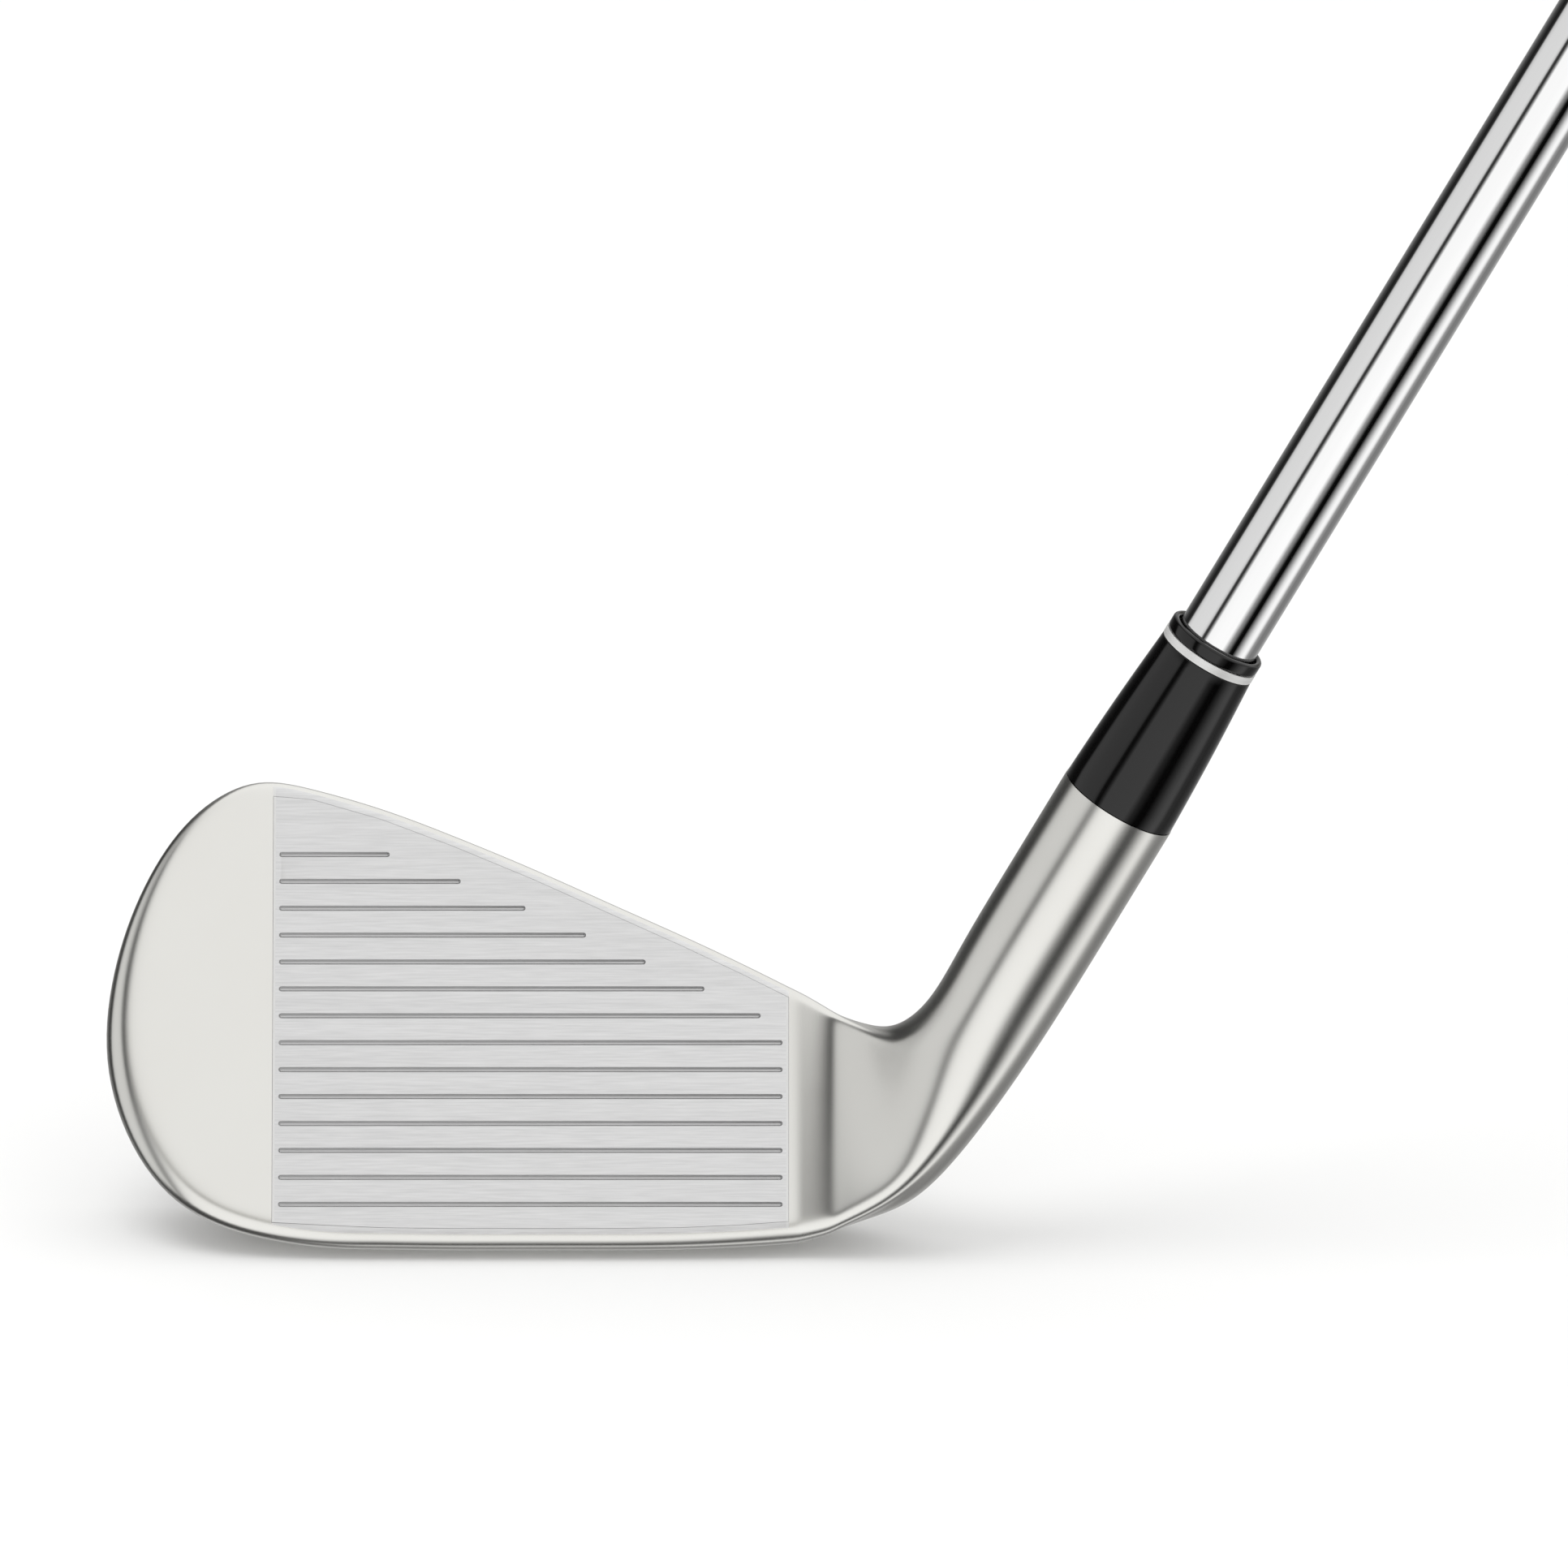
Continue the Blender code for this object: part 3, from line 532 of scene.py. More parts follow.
def groove_cutter(w, left, right):
    """A round-ended cutter whose walls lean in towards a narrow floor."""
    half = GROOVE_WIDTH / 2
    outline = [(right - half + half * sin(a * pi / 6), w - half * cos(a * pi / 6)) for a in range(7)]
    outline += [(left + half - half * sin(a * pi / 6), w + half * cos(a * pi / 6)) for a in range(7)]
    cutter = flat_piece("groove", outline, -0.5, 0.0)
    into_edit(cutter)
    bpy.ops.mesh.select_all(action="DESELECT")
    out_of_edit()
    for polygon in cutter.data.polygons:
        polygon.select = depth_of(polygon.center / MM) > -0.01
    take(cutter)
    bpy.ops.object.mode_set(mode="EDIT")
    for inward, deeper in ((0.05, 0.2), (0.09, 0.15), (0.08, GROOVE_DEPTH - 0.35)):
        bpy.ops.mesh.inset(thickness=inward * MM, depth=deeper * MM)
    out_of_edit()
    close_up(cutter)
    return cutter


def make_panel():
    """The hitting panel, with all its grooves carved at once."""
    panel = flat_piece("hitting_panel", panel_outline(PANEL_HALF - SEAM, 0), 0, PANEL_THICKNESS)
    close_up(panel)
    cutters = [groove_cutter(*ends) for ends in groove_ends()]
    select_nothing()
    for cutter in cutters:
        cutter.select_set(True)
    bpy.context.view_layer.objects.active = cutters[0]
    bpy.ops.object.join()
    carve(panel, cutters[0])
    smooth(panel, 25)
    return panel


def badge_outline(margin):
    """The badge fills the cavity's floor: along the topline, round the toe, and back along the muscle."""
    top = [(x, height_at(TOPLINE, x) - BADGE_TOP) for x in (BADGE_HEEL, 9, 0, -9, -17, -25)]
    corners = [*top, *BADGE_TOE, (BADGE_HEEL, BADGE_FOOT)]
    drawn_in = [Vector(c) + (BADGE_MIDDLE - Vector(c)).normalized() * margin for c in corners]
    return rounded([tuple(corner) for corner in drawn_in], BADGE_CORNER)


def make_badge():
    """The badge: a flat plate with rounded edges and a raised border round its sunken middle."""
    badge = flat_piece("cavity_badge", badge_outline(0.0), BADGE_NEAR, BADGE_FAR)
    close_up(badge)
    round_edges(badge, 0.12, 3)
    recess = flat_piece("recess", badge_outline(BADGE_BORDER), BADGE_FAR - BADGE_SUNK, BADGE_FAR + 1)
    close_up(recess)
    carve(badge, recess)
    smooth(badge, 30)
    return badge


def tube(name, top, foot, radius, bore, edge):
    """A plain tube on the shaft's axis, with its edges rounded."""
    piece = turned(name, [(radius, top), (radius, foot), (bore, foot), (bore, top)], closed=True)
    round_edges(piece, edge)
    smooth(piece)
    stand_on_axis(piece)
    return piece


def make_ferrule():
    """Black collar with its slight swell, the silver ring, and the black band above it."""
    foot, body_top = HOSEL_TOP + 0.05, RING_FOOT - SEAM
    body = [(RING_RADIUS, body_top)]
    for i in range(1, FERRULE_RINGS):
        share = i / FERRULE_RINGS
        swell = FERRULE_BULGE * sin(pi * share)
        body.append((RING_RADIUS + (FERRULE_RADIUS - RING_RADIUS) * share + swell,
                     RING_FOOT + (foot - RING_FOOT) * share))
    body += [(FERRULE_RADIUS, foot), (FERRULE_BORE, foot), (FERRULE_BORE, body_top)]
    collar = turned("ferrule_collar", body, closed=True)
    round_edges(collar, 0.1, 3)
    smooth(collar)
    stand_on_axis(collar)
    ring_top = RING_FOOT + RING_HEIGHT
    ring = tube("ferrule_ring", ring_top - SEAM, RING_FOOT + SEAM, RING_RADIUS + 0.03, FERRULE_BORE, 0.05)
    band = tube("ferrule_band", FERRULE_TOP, ring_top + SEAM, RING_RADIUS, FERRULE_BORE, 0.28)
    return collar, ring, band


def make_shaft():
    """Stepped tube: each step is a short cone with its corners eased."""
    drop = (BUTT_RADIUS - TIP_RADIUS) / STEPS
    pitch = (LAST_STEP - FIRST_STEP) / (STEPS - 1)
    profile = [(BUTT_RADIUS, SHAFT_BUTT)]
    for i in range(STEPS):
        radius, height = BUTT_RADIUS - i * drop, LAST_STEP - i * pitch
        for share in (0.0, 0.15, 0.5, 0.85, 1.0):
            eased = share * share * (3 - 2 * share)
            profile.append((radius - drop * eased, height + STEP_HALF - 2 * STEP_HALF * share))
    tip_bore, butt_bore = TIP_RADIUS - WALL, BUTT_RADIUS - WALL
    profile += [(TIP_RADIUS, SHAFT_TIP), (tip_bore, SHAFT_TIP), (tip_bore, FIRST_STEP - BORE_TAPER),
                (butt_bore, LAST_STEP + BORE_TAPER), (butt_bore, SHAFT_BUTT)]
    shaft = turned("steel_shaft", profile, closed=True)
    smooth(shaft, 20)
    stand_on_axis(shaft)
    return shaft


def grip_radius(height):
    """Outer radius of the grip at this height, from its mouth to the cap."""
    share = (height - GRIP_MOUTH) / (CLUB_LENGTH - CAP_HEIGHT - GRIP_MOUTH)
    flare = FLARE * max(0.0, share - FLARE_FROM) / (1 - FLARE_FROM)
    return GRIP_MOUTH_RADIUS + (GRIP_BUTT_RADIUS - FLARE - GRIP_MOUTH_RADIUS) * share + flare ** 2


def make_grip():
    """Moulded sleeve: rows of sunken pads, plain bands between them, and a rolled lip at the mouth."""
    top = CLUB_LENGTH - CAP_HEIGHT - CAP_GAP
    lip = ((-0.5, 0), (0, 0.8), (0, 3.2), (-LIP_GROOVE, 3.8), (-LIP_GROOVE, 4.6), (0, 5.2))
    profile = [(GRIP_BORE, GRIP_MOUTH)]
    profile += [(GRIP_MOUTH_RADIUS + out, GRIP_MOUTH + up) for out, up in lip]
    first, last = GRIP_MOUTH + 9, top - 6
    pitch = (last - first) / PAD_ROWS
    profile += [(grip_radius(first + i * pitch), first + i * pitch) for i in range(PAD_ROWS + 1)]
    profile += [(GRIP_BUTT_RADIUS - 0.1, top), (GRIP_BORE, top)]
    grip = turned("moulded_grip", profile, PADS_ROUND, closed=True)
    for polygon in grip.data.polygons:
        centre = polygon.center / MM
        row = int((centre.z - first) / pitch) if first < centre.z < last else 0
        outside = centre.xy.length > GRIP_BORE + 0.5
        polygon.select = outside and row not in PLAIN_ROWS
    take(grip)
    bpy.ops.object.mode_set(mode="EDIT")
    bpy.ops.mesh.inset(thickness=PAD_EDGE * MM, use_individual=True)
    bpy.ops.mesh.inset(thickness=PAD_SLOPE * MM, depth=-PAD_SUNK * MM, use_individual=True)
    out_of_edit()
    smooth(grip, 20)
    stand_on_axis(grip)
    return grip


def make_cap():
    """Butt cap: a rounded rim, a shallow ring groove, and the vent hole with its flared mouth."""
    foot = CLUB_LENGTH - CAP_HEIGHT + CAP_GAP
    radius = GRIP_BUTT_RADIUS + CAP_OVERHANG
    rim = ((0, -1.3), (-0.4, -0.5), (-1.3, 0), (-3.2, 0), (-3.6, -0.5), (-4.4, -0.5), (-4.8, 0))
    profile = [(VENT_RADIUS, foot), (radius, foot)]
    profile += [(radius + out, CLUB_LENGTH + up) for out, up in rim]
    profile += [(VENT_MOUTH, CLUB_LENGTH), (VENT_RADIUS, CLUB_LENGTH - 0.8)]
    cap = turned("butt_cap", profile, closed=True)
    round_edges(cap, 0.15, 2, 25)
    smooth(cap)
    stand_on_axis(cap)
    return cap


def make_label_band():
    return tube("shaft_label_band", BAND_TOP, BAND_FOOT, BUTT_RADIUS + 0.45, BUTT_RADIUS + 0.2, 0.1)


# ---------------------------------------------------------------- finishes

def sockets(group, ins, outs):
    """Gives a node group its input sockets (name, kind, value) and output sockets (name, kind)."""
    for name, kind, value in ins:
        made = group.interface.new_socket(name=name, in_out="INPUT", socket_type=kind)
        if value is not None:
            made.default_value = value
    for name, kind in outs:
        group.interface.new_socket(name=name, in_out="OUTPUT", socket_type=kind)


class Nodes:
    """Short hand for laying nodes and links in one tree."""

    def __init__(self, tree):
        self.tree = tree

    def add(self, kind, **settings):
        node = self.tree.nodes.new(kind)
        for key, value in settings.items():
            setattr(node, key, value)
        return node

    def link(self, source, target):
        self.tree.links.new(source, target)

    def feed(self, socket, value):
        if isinstance(value, bpy.types.NodeSocket):
            self.link(value, socket)
        else:
            socket.default_value = value

    def maths(self, operation, *values):
        node = self.add("ShaderNodeMath", operation=operation)
        for socket, value in zip(node.inputs, values):
            self.feed(socket, value)
        return node.outputs[0]

    def blend(self, share, dark, light):
        node = self.add("ShaderNodeMix", data_type="RGBA")
        self.feed(node.inputs["Factor"], share)
        self.feed(node.inputs["A"], dark)
        self.feed(node.inputs["B"], light)
        return node.outputs["Result"]

    def ranged(self, value, low, high, to_low=0.0, to_high=1.0):
        node = self.add("ShaderNodeMapRange")
        for socket, number in zip(node.inputs, (value, low, high, to_low, to_high)):
            self.feed(socket, number)
        return node.outputs[0]

    def noise(self, vector, scale, detail=2.0):
        node = self.add("ShaderNodeTexNoise")
        self.link(vector, node.inputs["Vector"])
        self.feed(node.inputs["Scale"], scale)
        node.inputs["Detail"].default_value = detail
        return node.outputs["Fac"]

    def group(self, group, **values):
        node = self.add("ShaderNodeGroup", node_tree=group)
        for key, value in values.items():
            self.feed(node.inputs[key.replace("_", " ")], value)
        return node


MILLED_DEPTH = 0.10  # below this depth behind the face the steel isn't milled
BORDER_LINE = 0.3  # width of the bright line down each side of the panel


def grain_group():
    """Grain drawn out along one axis, and the slow drift of tone over it."""
    group = bpy.data.node_groups.new("drawn_grain", "ShaderNodeTree")
    sockets(group, (("Vector", "NodeSocketVector", None), ("Stretch", "NodeSocketVector", (1, 1, 1)),
                    ("Scale", "NodeSocketFloat", 1000.0), ("Drift Scale", "NodeSocketFloat", 60.0)),
            (("Grain", "NodeSocketFloat"), ("Drift", "NodeSocketFloat")))
    n = Nodes(group)
    given, result = n.add("NodeGroupInput"), n.add("NodeGroupOutput")
    drawn = n.add("ShaderNodeVectorMath", operation="MULTIPLY")
    n.link(given.outputs["Vector"], drawn.inputs[0])
    n.link(given.outputs["Stretch"], drawn.inputs[1])
    n.link(n.noise(drawn.outputs[0], given.outputs["Scale"], 3.0), result.inputs["Grain"])
    n.link(n.noise(given.outputs["Vector"], given.outputs["Drift Scale"], 4.0), result.inputs["Drift"])
    return group


def milling_group():
    """Fly-cut lines across the face, and masks of its flat, its border lines and what is sunk below it,
    where the panel's grooves get painted shade.
    """
    group = bpy.data.node_groups.new("milled_passes", "ShaderNodeTree")
    sockets(group, (("Vector", "NodeSocketVector", None), ("Half Width", "NodeSocketFloat", 0.0294)),
            (("Lines", "NodeSocketFloat"), ("Passes", "NodeSocketFloat"), ("Panel", "NodeSocketFloat"),
             ("Border", "NodeSocketFloat"), ("Sunk Shade", "NodeSocketFloat")))
    n = Nodes(group)
    given, result = n.add("NodeGroupInput"), n.add("NodeGroupOutput")
    for output, scale, stretch in (("Lines", 4200.0, (0.05, 1, 1)), ("Passes", 900.0, (0.02, 1, 1))):
        drawn = n.add("ShaderNodeVectorMath", operation="MULTIPLY")
        n.link(given.outputs["Vector"], drawn.inputs[0])
        drawn.inputs[1].default_value = stretch
        n.link(n.noise(drawn.outputs[0], scale, 2.0), result.inputs[output])
    apart = n.add("ShaderNodeSeparateXYZ")
    n.link(given.outputs["Vector"], apart.inputs[0])
    side = n.maths("ABSOLUTE", apart.outputs["X"])
    inside = n.maths("LESS_THAN", side, given.outputs["Half Width"])
    flat = n.maths("GREATER_THAN", apart.outputs["Z"], -MILLED_DEPTH * MM)
    n.link(n.maths("MULTIPLY", inside, flat), result.inputs["Panel"])
    n.link(n.maths("MULTIPLY", inside, n.maths("SUBTRACT", 1.0, flat)), result.inputs["Sunk Shade"])
    inner = n.maths("SUBTRACT", given.outputs["Half Width"], BORDER_LINE * MM)
    n.link(n.maths("MULTIPLY", inside, n.maths("GREATER_THAN", side, inner)), result.inputs["Border"])
    return group


def start_material(name, place, turn):
    """A material with its shader, and coordinates that start at this place, turned this way."""
    made = bpy.data.materials.new(name)
    made.use_nodes = True
    n = Nodes(made.node_tree)
    shader = made.node_tree.nodes["Principled BSDF"]
    mapping = n.add("ShaderNodeMapping", vector_type="TEXTURE")
    mapping.inputs["Location"].default_value = place
    mapping.inputs["Rotation"].default_value = turn
    n.link(n.add("ShaderNodeTexCoord").outputs["Object"], mapping.inputs["Vector"])
    return made, n, shader, mapping.outputs["Vector"]


def bump(n, shader, height, distance):
    """Relief this many millimetres high."""
    node = n.add("ShaderNodeBump")
    node.inputs["Distance"].default_value = distance * MM
    node.inputs["Strength"].default_value = 1.0
    n.link(height, node.inputs["Height"])
    n.link(node.outputs["Normal"], shader.inputs["Normal"])


def grained(name, grain, dark, light, rough, metallic, scale, stretch, drift, height, place, turn):
    """A finish whose tone and gloss follow a drawn-out grain and a slow drift."""
    made, n, shader, vector = start_material(name, place, turn)
    marks = n.group(grain, Vector=vector, Stretch=stretch, Scale=scale, Drift_Scale=drift)
    tone = n.maths("ADD", n.maths("MULTIPLY", marks.outputs["Grain"], 0.6),
                   n.maths("MULTIPLY", marks.outputs["Drift"], 0.4))
    n.link(n.blend(n.ranged(tone, 0.3, 0.7), (*dark, 1), (*light, 1)), shader.inputs["Base Color"])
    n.link(n.ranged(marks.outputs["Drift"], 0.3, 0.7, *rough), shader.inputs["Roughness"])
    shader.inputs["Metallic"].default_value = metallic
    if height:
        bump(n, shader, marks.outputs["Grain"], height)
    return made


def head_steel(name, grain, milling, all_milled=False):
    """Satin chrome over the head, with the flat of the face between the border lines milled instead, and on
    the panel painted shade darkening the grooves.
    """
    made, n, shader, vector = start_material(name, FACE_PLACE, FACE_TURN)
    marks = n.group(grain, Vector=vector, Scale=5200.0, Drift_Scale=45.0)
    passes = n.group(milling, Vector=vector, Half_Width=PANEL_HALF * MM)
    drift = marks.outputs["Drift"]
    satin = n.blend(n.ranged(drift, 0.3, 0.7), (0.80, 0.79, 0.755, 1), (0.85, 0.845, 0.81, 1))
    lines = n.maths("ADD", n.maths("MULTIPLY", passes.outputs["Lines"], 0.65),
                    n.maths("MULTIPLY", passes.outputs["Passes"], 0.35))
    milled = n.blend(n.ranged(lines, 0.35, 0.65), (0.71, 0.71, 0.71, 1), (0.86, 0.86, 0.86, 1))
    milled = n.blend(passes.outputs["Border"], milled, (0.82, 0.82, 0.81, 1))
    # Painted shade: on the panel, the grooves and whatever else lies below the milled flat are darkened to a
    # flat grey 0.63.
    if all_milled:
        milled = n.blend(passes.outputs["Sunk Shade"], milled, (0.63, 0.63, 0.63, 1))
    flat = 1.0 if all_milled else passes.outputs["Panel"]
    n.link(n.blend(flat, satin, milled), shader.inputs["Base Color"])
    satin_rough = n.ranged(drift, 0.3, 0.7, 0.23, 0.28)
    milled_rough = n.ranged(lines, 0.3, 0.7, 0.30, 0.42)
    rough = n.add("ShaderNodeMix", data_type="FLOAT")
    n.feed(rough.inputs["Factor"], flat)
    n.link(satin_rough, rough.inputs["A"])
    n.link(milled_rough, rough.inputs["B"])
    n.link(rough.outputs["Result"], shader.inputs["Roughness"])
    shader.inputs["Metallic"].default_value = 1.0
    height = n.add("ShaderNodeMix", data_type="FLOAT")
    n.feed(height.inputs["Factor"], flat)
    n.link(n.maths("MULTIPLY", marks.outputs["Grain"], 0.35), height.inputs["A"])
    n.link(lines, height.inputs["B"])
    bump(n, shader, height.outputs["Result"], 0.006)
    return made


def make_finishes():
    """Every finish by name. on_shaft and on_face say where its coordinates start and how they are turned."""
    grain, milling = grain_group(), milling_group()
    on_shaft = {"place": SHAFT_PLACE, "turn": SHAFT_TURN}
    on_face = {"place": FACE_PLACE, "turn": FACE_TURN}
    around, across, even = (1, 1, 60), (0.02, 1, 1), (1, 1, 1)
    made = {
        "head_satin": head_steel("head_satin", grain, milling),
        "panel_milled": head_steel("panel_milled", grain, milling, all_milled=True),
    }
    # name, dark, light, roughness, metallic, grain scale, stretch, drift scale, bump, coordinates
    for name, dark, light, rough, metal, scale, stretch, drift, height, where in (
        ("shaft_chrome", (0.90, 0.90, 0.90), (0.95, 0.95, 0.95), (0.03, 0.06), 1.0,
         900.0, (1, 1, 0.02), 30.0, 0.0, on_shaft),
        ("ferrule_black", (0.0012, 0.0012, 0.0012), (0.0030, 0.0028, 0.0028), (0.04, 0.08), 0.0,
         3000.0, even, 90.0, 0.0004, on_shaft),
        ("ring_silver", (0.70, 0.70, 0.69), (0.82, 0.82, 0.81), (0.45, 0.55), 0.5,
         60.0, around, 200.0, 0.001, on_shaft),
        ("grip_rubber", (0.014, 0.014, 0.015), (0.030, 0.030, 0.032), (0.62, 0.82), 0.0,
         2200.0, even, 70.0, 0.03, on_shaft),
        ("cap_rubber", (0.020, 0.020, 0.022), (0.034, 0.034, 0.036), (0.45, 0.60), 0.0,
         2600.0, even, 90.0, 0.015, on_shaft),
        ("badge_brushed", (0.42, 0.43, 0.45), (0.62, 0.63, 0.65), (0.24, 0.36), 1.0,
         2600.0, across, 60.0, 0.004, on_face),
        ("band_foil", (0.62, 0.62, 0.62), (0.80, 0.80, 0.80), (0.20, 0.30), 1.0,
         900.0, (1, 1, 0.1), 80.0, 0.001, on_shaft),
        ("damper_polymer", (0.03, 0.03, 0.034), (0.06, 0.06, 0.066), (0.5, 0.7), 0.0,
         1800.0, even, 60.0, 0.01, on_face),
        ("badge_tape_white", (0.66, 0.64, 0.56), (0.80, 0.78, 0.70), (0.6, 0.8), 0.0,
         2400.0, even, 60.0, 0.01, on_face),
        ("grip_tape_cream", (0.62, 0.58, 0.46), (0.78, 0.74, 0.62), (0.6, 0.8), 0.0,
         1500.0, (1, 1, 0.2), 60.0, 0.01, on_shaft),
        ("bond_epoxy", (0.40, 0.36, 0.22), (0.58, 0.52, 0.36), (0.3, 0.5), 0.0,
         700.0, even, 60.0, 0.02, on_shaft),
        ("pin_brass", (0.58, 0.42, 0.18), (0.76, 0.58, 0.30), (0.28, 0.42), 1.0,
         120.0, around, 200.0, 0.003, on_shaft),
        ("plug_cork", (0.30, 0.18, 0.09), (0.58, 0.40, 0.24), (0.8, 0.95), 0.0,
         1200.0, even, 400.0, 0.08, on_shaft),
    ):
        made[name] = grained(name, grain, dark, light, rough, metal, scale, stretch, drift, height, **where)
    return made


def wear(piece, finish):
    piece.data.materials.clear()
    piece.data.materials.append(finish)


# ---------------------------------------------------------------- studio

# Cards and flags hung round the club: (place, brightness). The place is where a polished tube shows it,
# from the tube's left side, -1, to its right, 1.
CARDS = (
    (-1.0, 0.45), (-0.97, 0.16), (-0.92, 0.05), (-0.86, 0.012), (-0.81, 0.03), (-0.775, 0.60),
    (-0.72, 0.72), (-0.42, 0.74), (-0.375, 0.60), (-0.345, 0.05), (-0.30, 0.03), (-0.265, 0.30),
    (-0.22, 1.0), (0.21, 1.06), (0.30, 0.32), (0.385, 0.05), (0.41, 0.004), (0.485, 0.002),
    (0.515, 0.10), (0.57, 0.36), (0.64, 0.80), (0.70, 1.02), (0.745, 0.95), (0.80, 0.34),
    (0.86, 0.20), (0.93, 0.22), (1.0, 0.60),
)
# The same higher up, where the flag beside the middle card is broader: (turn in degrees, brightness)
HIGH_CARDS = (
    (-180, 0.60), (-120, 0.10), (-104, 0.10), (-92, 0.36), (-76, 0.42), (-64, 0.30), (-54, 0.07),
    (-33, 0.04), (-28, 0.30), (-21, 1.0), (35, 1.0), (60, 0.30), (90, 0.80), (180, 0.60),
)
CEILING, GROUND = (1.0, 1.0, 1.0, 1), (0.05, 0.05, 0.05, 1)
# How far up the shaft's axis a direction points where the ceiling, the high cards and the ground take over
CEILING_FADE, HIGH_FADE, GROUND_FADE = (0.44, 0.54), (0.0, 0.2), (-0.95, -0.84)
# A slat under the ceiling draws the line along the foot of the face: its grey, where it fades in and out
# up the axis, and where it starts round the axis, as a share of the whole turn
SLAT, SLAT_FADES, SLAT_TURN = (0.30, 0.29, 0.27, 1), ((0.20, 0.27), (0.42, 0.35)), (0.41, 0.45)

ELEVATION = radians(18)
VIEW_CENTRE = Vector((28.85, 0, 54.55))
VIEW_WIDTH, LENS, SENSOR = 177.74, 600.0, 36.0
LAMP_PLACE, LAMP_SIZE, LAMP_POWER = (-0.35, -0.35, 1.5), 0.9, 5.0
FLOOR_SIZE = 60


def card_ramp(n, turn, cards):
    """Brightness by turn round the shaft's axis, from -pi to pi."""
    ramp = n.add("ShaderNodeValToRGB")
    n.link(turn, ramp.inputs["Fac"])
    stops = ramp.color_ramp.elements
    for i, (angle, value) in enumerate(cards):
        at = (angle + pi) / (2 * pi)
        stop = stops[i] if i < 2 else stops.new(at)
        stop.position = at
        stop.color = (value, value, value, 1)
    return ramp.outputs["Color"]


def make_world(toward_camera):
    """White all round, but polished metal sees long cards and flags hung parallel to the shaft."""
    axis = Vector((cos(LIE), 0, sin(LIE)))
    ahead = (toward_camera - axis * toward_camera.dot(axis)).normalized()
    beside = ahead.cross(axis)
    if beside.x < 0:
        beside.negate()
    world = bpy.data.worlds.new("white_studio")
    bpy.context.scene.world = world
    world.use_nodes = True
    n = Nodes(world.node_tree)
    direction = n.add("ShaderNodeTexCoord").outputs["Generated"]
    parts = []
    for toward in (ahead, beside):
        dot = n.add("ShaderNodeVectorMath", operation="DOT_PRODUCT")
        n.link(direction, dot.inputs[0])
        dot.inputs[1].default_value = toward
        parts.append(dot.outputs["Value"])
    turn = n.ranged(n.maths("ARCTAN2", parts[1], parts[0]), -pi, pi)
    low = card_ramp(n, turn, [(2 * asin(place), value) for place, value in CARDS])
    high = card_ramp(n, turn, [(radians(degrees), value) for degrees, value in HIGH_CARDS])
    level = n.add("ShaderNodeVectorMath", operation="DOT_PRODUCT")
    n.link(direction, level.inputs[0])
    level.inputs[1].default_value = axis
    height = level.outputs["Value"]
    seen = n.blend(n.ranged(height, *HIGH_FADE), low, high)
    slat = n.ranged(turn, *SLAT_TURN)
    for fade in SLAT_FADES:
        slat = n.maths("MULTIPLY", slat, n.ranged(height, *fade))
    seen = n.blend(slat, seen, SLAT)
    seen = n.blend(n.ranged(height, *GROUND_FADE), GROUND, seen)
    seen = n.blend(n.ranged(height, *CEILING_FADE), seen, CEILING)
    shine = n.add("ShaderNodeBackground")
    n.link(seen, shine.inputs["Color"])
    white = world.node_tree.nodes["Background"]
    white.inputs["Color"].default_value = (1, 1, 1, 1)
    pick = n.add("ShaderNodeMixShader")
    n.link(n.add("ShaderNodeLightPath").outputs["Is Glossy Ray"], pick.inputs["Fac"])
    n.link(white.outputs[0], pick.inputs[1])
    n.link(shine.outputs[0], pick.inputs[2])
    n.link(pick.outputs[0], world.node_tree.nodes["World Output"].inputs["Surface"])
    world.cycles.sampling_method = "NONE"


def make_camera(centre, toward_camera):
    camera_data = bpy.data.cameras.new("camera")
    camera_data.lens, camera_data.sensor_width = LENS, SENSOR
    camera_data.clip_start, camera_data.clip_end = 0.05, 200
    camera = bpy.data.objects.new("camera", camera_data)
    bpy.context.scene.collection.objects.link(camera)
    camera.location = centre + toward_camera * VIEW_WIDTH * MM * LENS / SENSOR
    camera.rotation_euler = (-toward_camera).to_track_quat("-Z", "Y").to_euler()
    bpy.context.scene.camera = camera


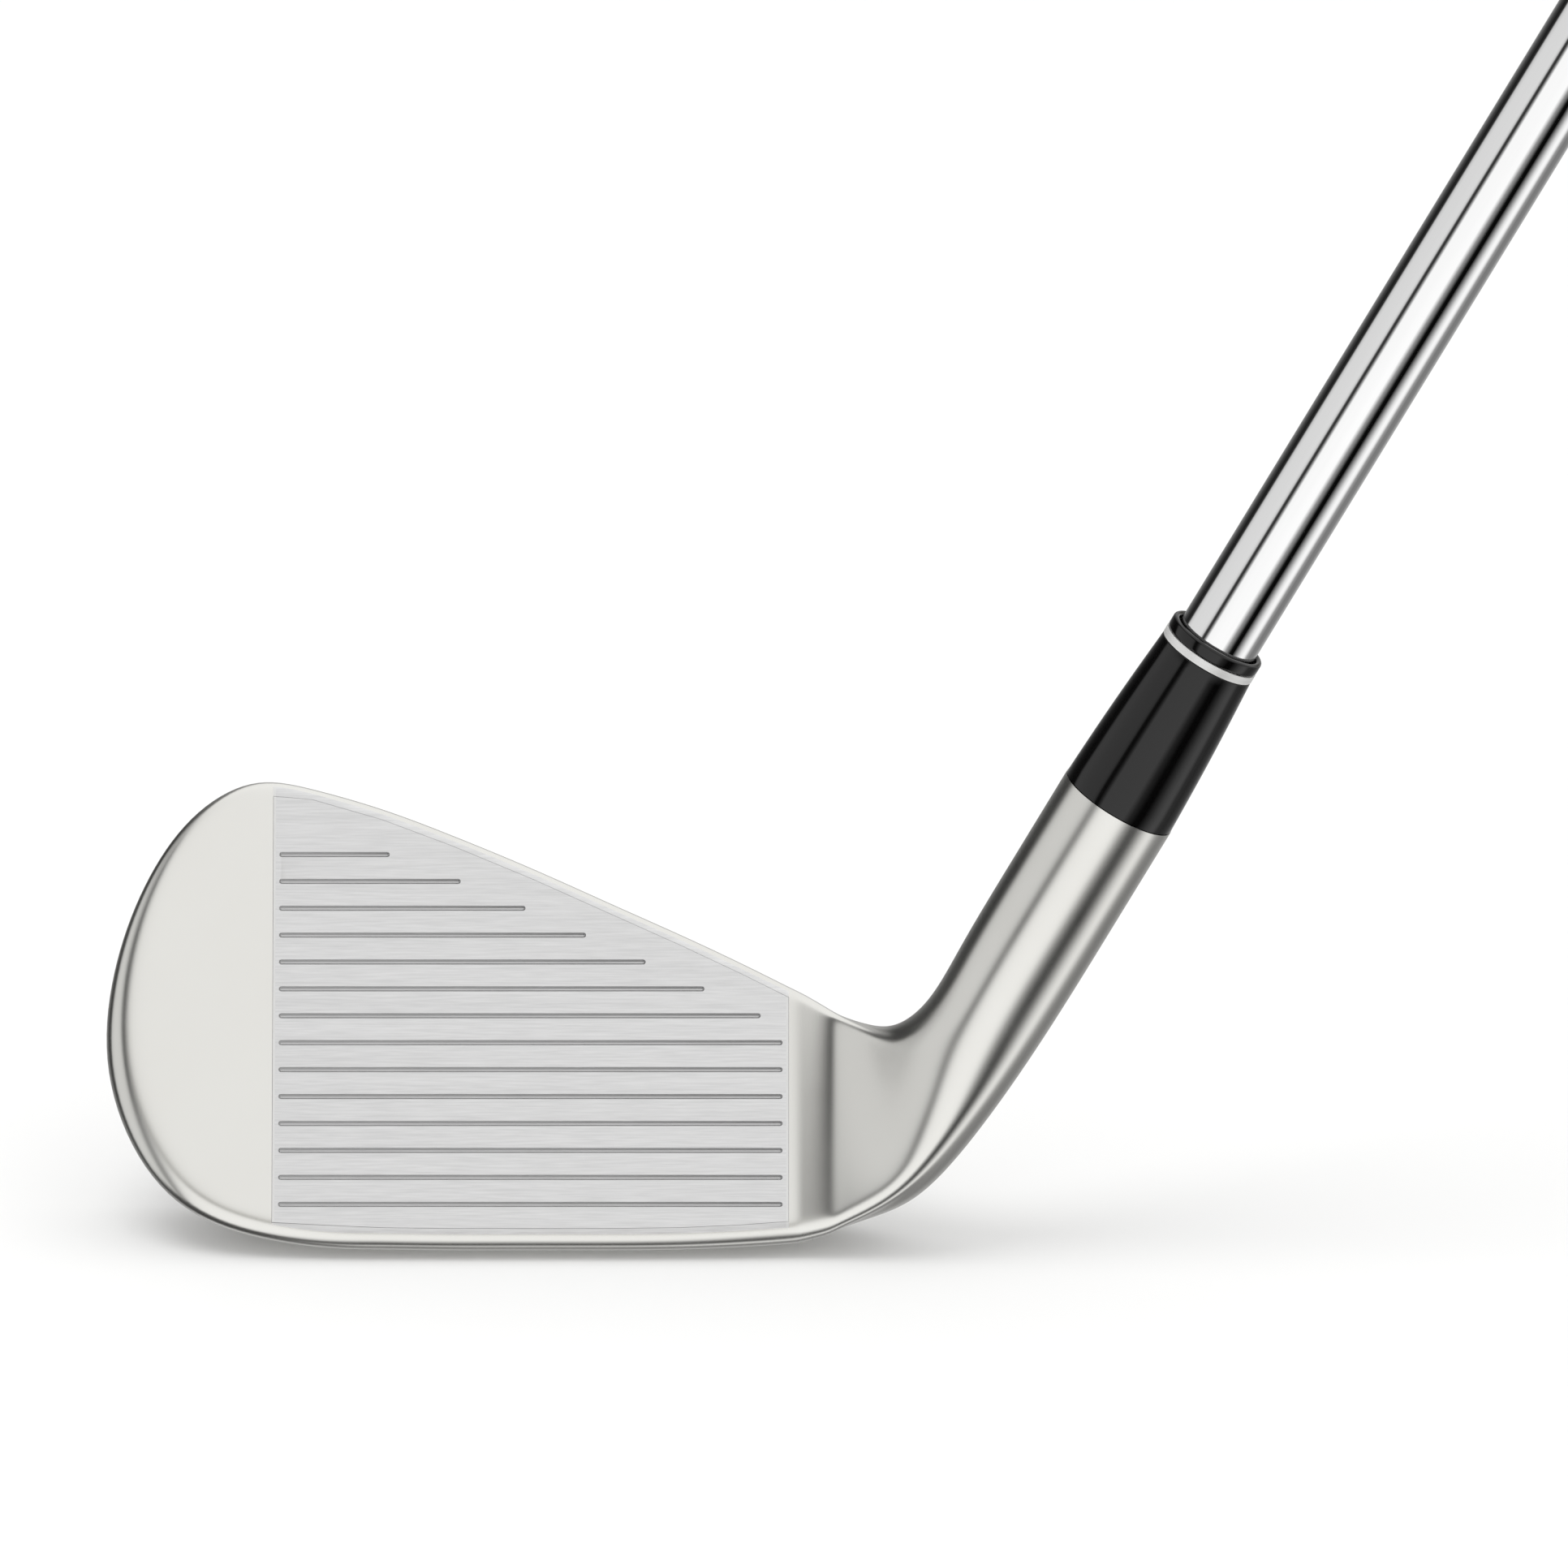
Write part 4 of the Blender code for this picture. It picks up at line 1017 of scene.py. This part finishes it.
def make_floor():
    select_nothing()
    bpy.ops.mesh.primitive_plane_add(size=FLOOR_SIZE)
    floor = bpy.context.object
    floor.name = "floor"
    floor.visible_glossy = False
    finish = bpy.data.materials.new("pale_floor")
    finish.use_nodes = True
    shader = finish.node_tree.nodes["Principled BSDF"]
    shader.inputs["Base Color"].default_value = (0.90, 0.90, 0.895, 1)
    shader.inputs["Roughness"].default_value = 1.0
    shader.inputs["Specular IOR Level"].default_value = 0.0
    wear(floor, finish)


def make_lamp(centre):
    light = bpy.data.lights.new("overhead", "AREA")
    light.shape, light.size, light.energy = "DISK", LAMP_SIZE, LAMP_POWER
    lamp = bpy.data.objects.new("overhead", light)
    bpy.context.scene.collection.objects.link(lamp)
    lamp.location = LAMP_PLACE
    lamp.rotation_euler = (centre - lamp.location).to_track_quat("-Z", "Y").to_euler()
    lamp.visible_glossy = False
    lamp.visible_camera = False


def make_studio():
    toward_camera = Vector((0, -cos(ELEVATION), sin(ELEVATION)))
    centre = VIEW_CENTRE * MM
    make_camera(centre, toward_camera)
    make_world(toward_camera)
    make_floor()
    make_lamp(centre)
    settings = bpy.context.scene.view_settings
    settings.view_transform = "Standard"
    settings.look = "None"


# ---------------------------------------------------------------- put together

def main():
    make_studio()
    finishes = make_finishes()
    collar, ring, band = make_ferrule()
    pieces = (
        (make_head(), "head_satin", "satin_chrome", "head_body"),
        (make_panel(), "panel_milled", "milled_steel", "face_plate"),
        (make_badge(), "badge_brushed", "badge_metal", "back_badge"),
        (collar, "ferrule_black", "gloss_black", "ferrule_body"),
        (ring, "ring_silver", "trim_silver", "ferrule_trim_ring"),
        (band, "ferrule_black", "gloss_black", "ferrule_top_ring"),
        (make_shaft(), "shaft_chrome", "mirror_chrome", "shaft"),
        (make_grip(), "grip_rubber", "grip_rubber", "grip_sleeve"),
        (make_cap(), "cap_rubber", "grip_rubber", "grip_cap"),
        (make_label_band(), "band_foil", "trim_silver", "shaft_band"),
    )
    for piece, finish, slot, node in pieces:
        wear(piece, finishes[finish])
        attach(piece, "root")
        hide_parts(node)
    for node, finish in (
        ("cavity_damper", "damper_polymer"), ("badge_tape", "badge_tape_white"),
        ("hosel_epoxy", "bond_epoxy"), ("tip_weight_pin", "pin_brass"),
        ("tip_plug", "plug_cork"), ("grip_tape", "grip_tape_cream"),
    ):
        wear(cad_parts[node], finishes[finish])


main()
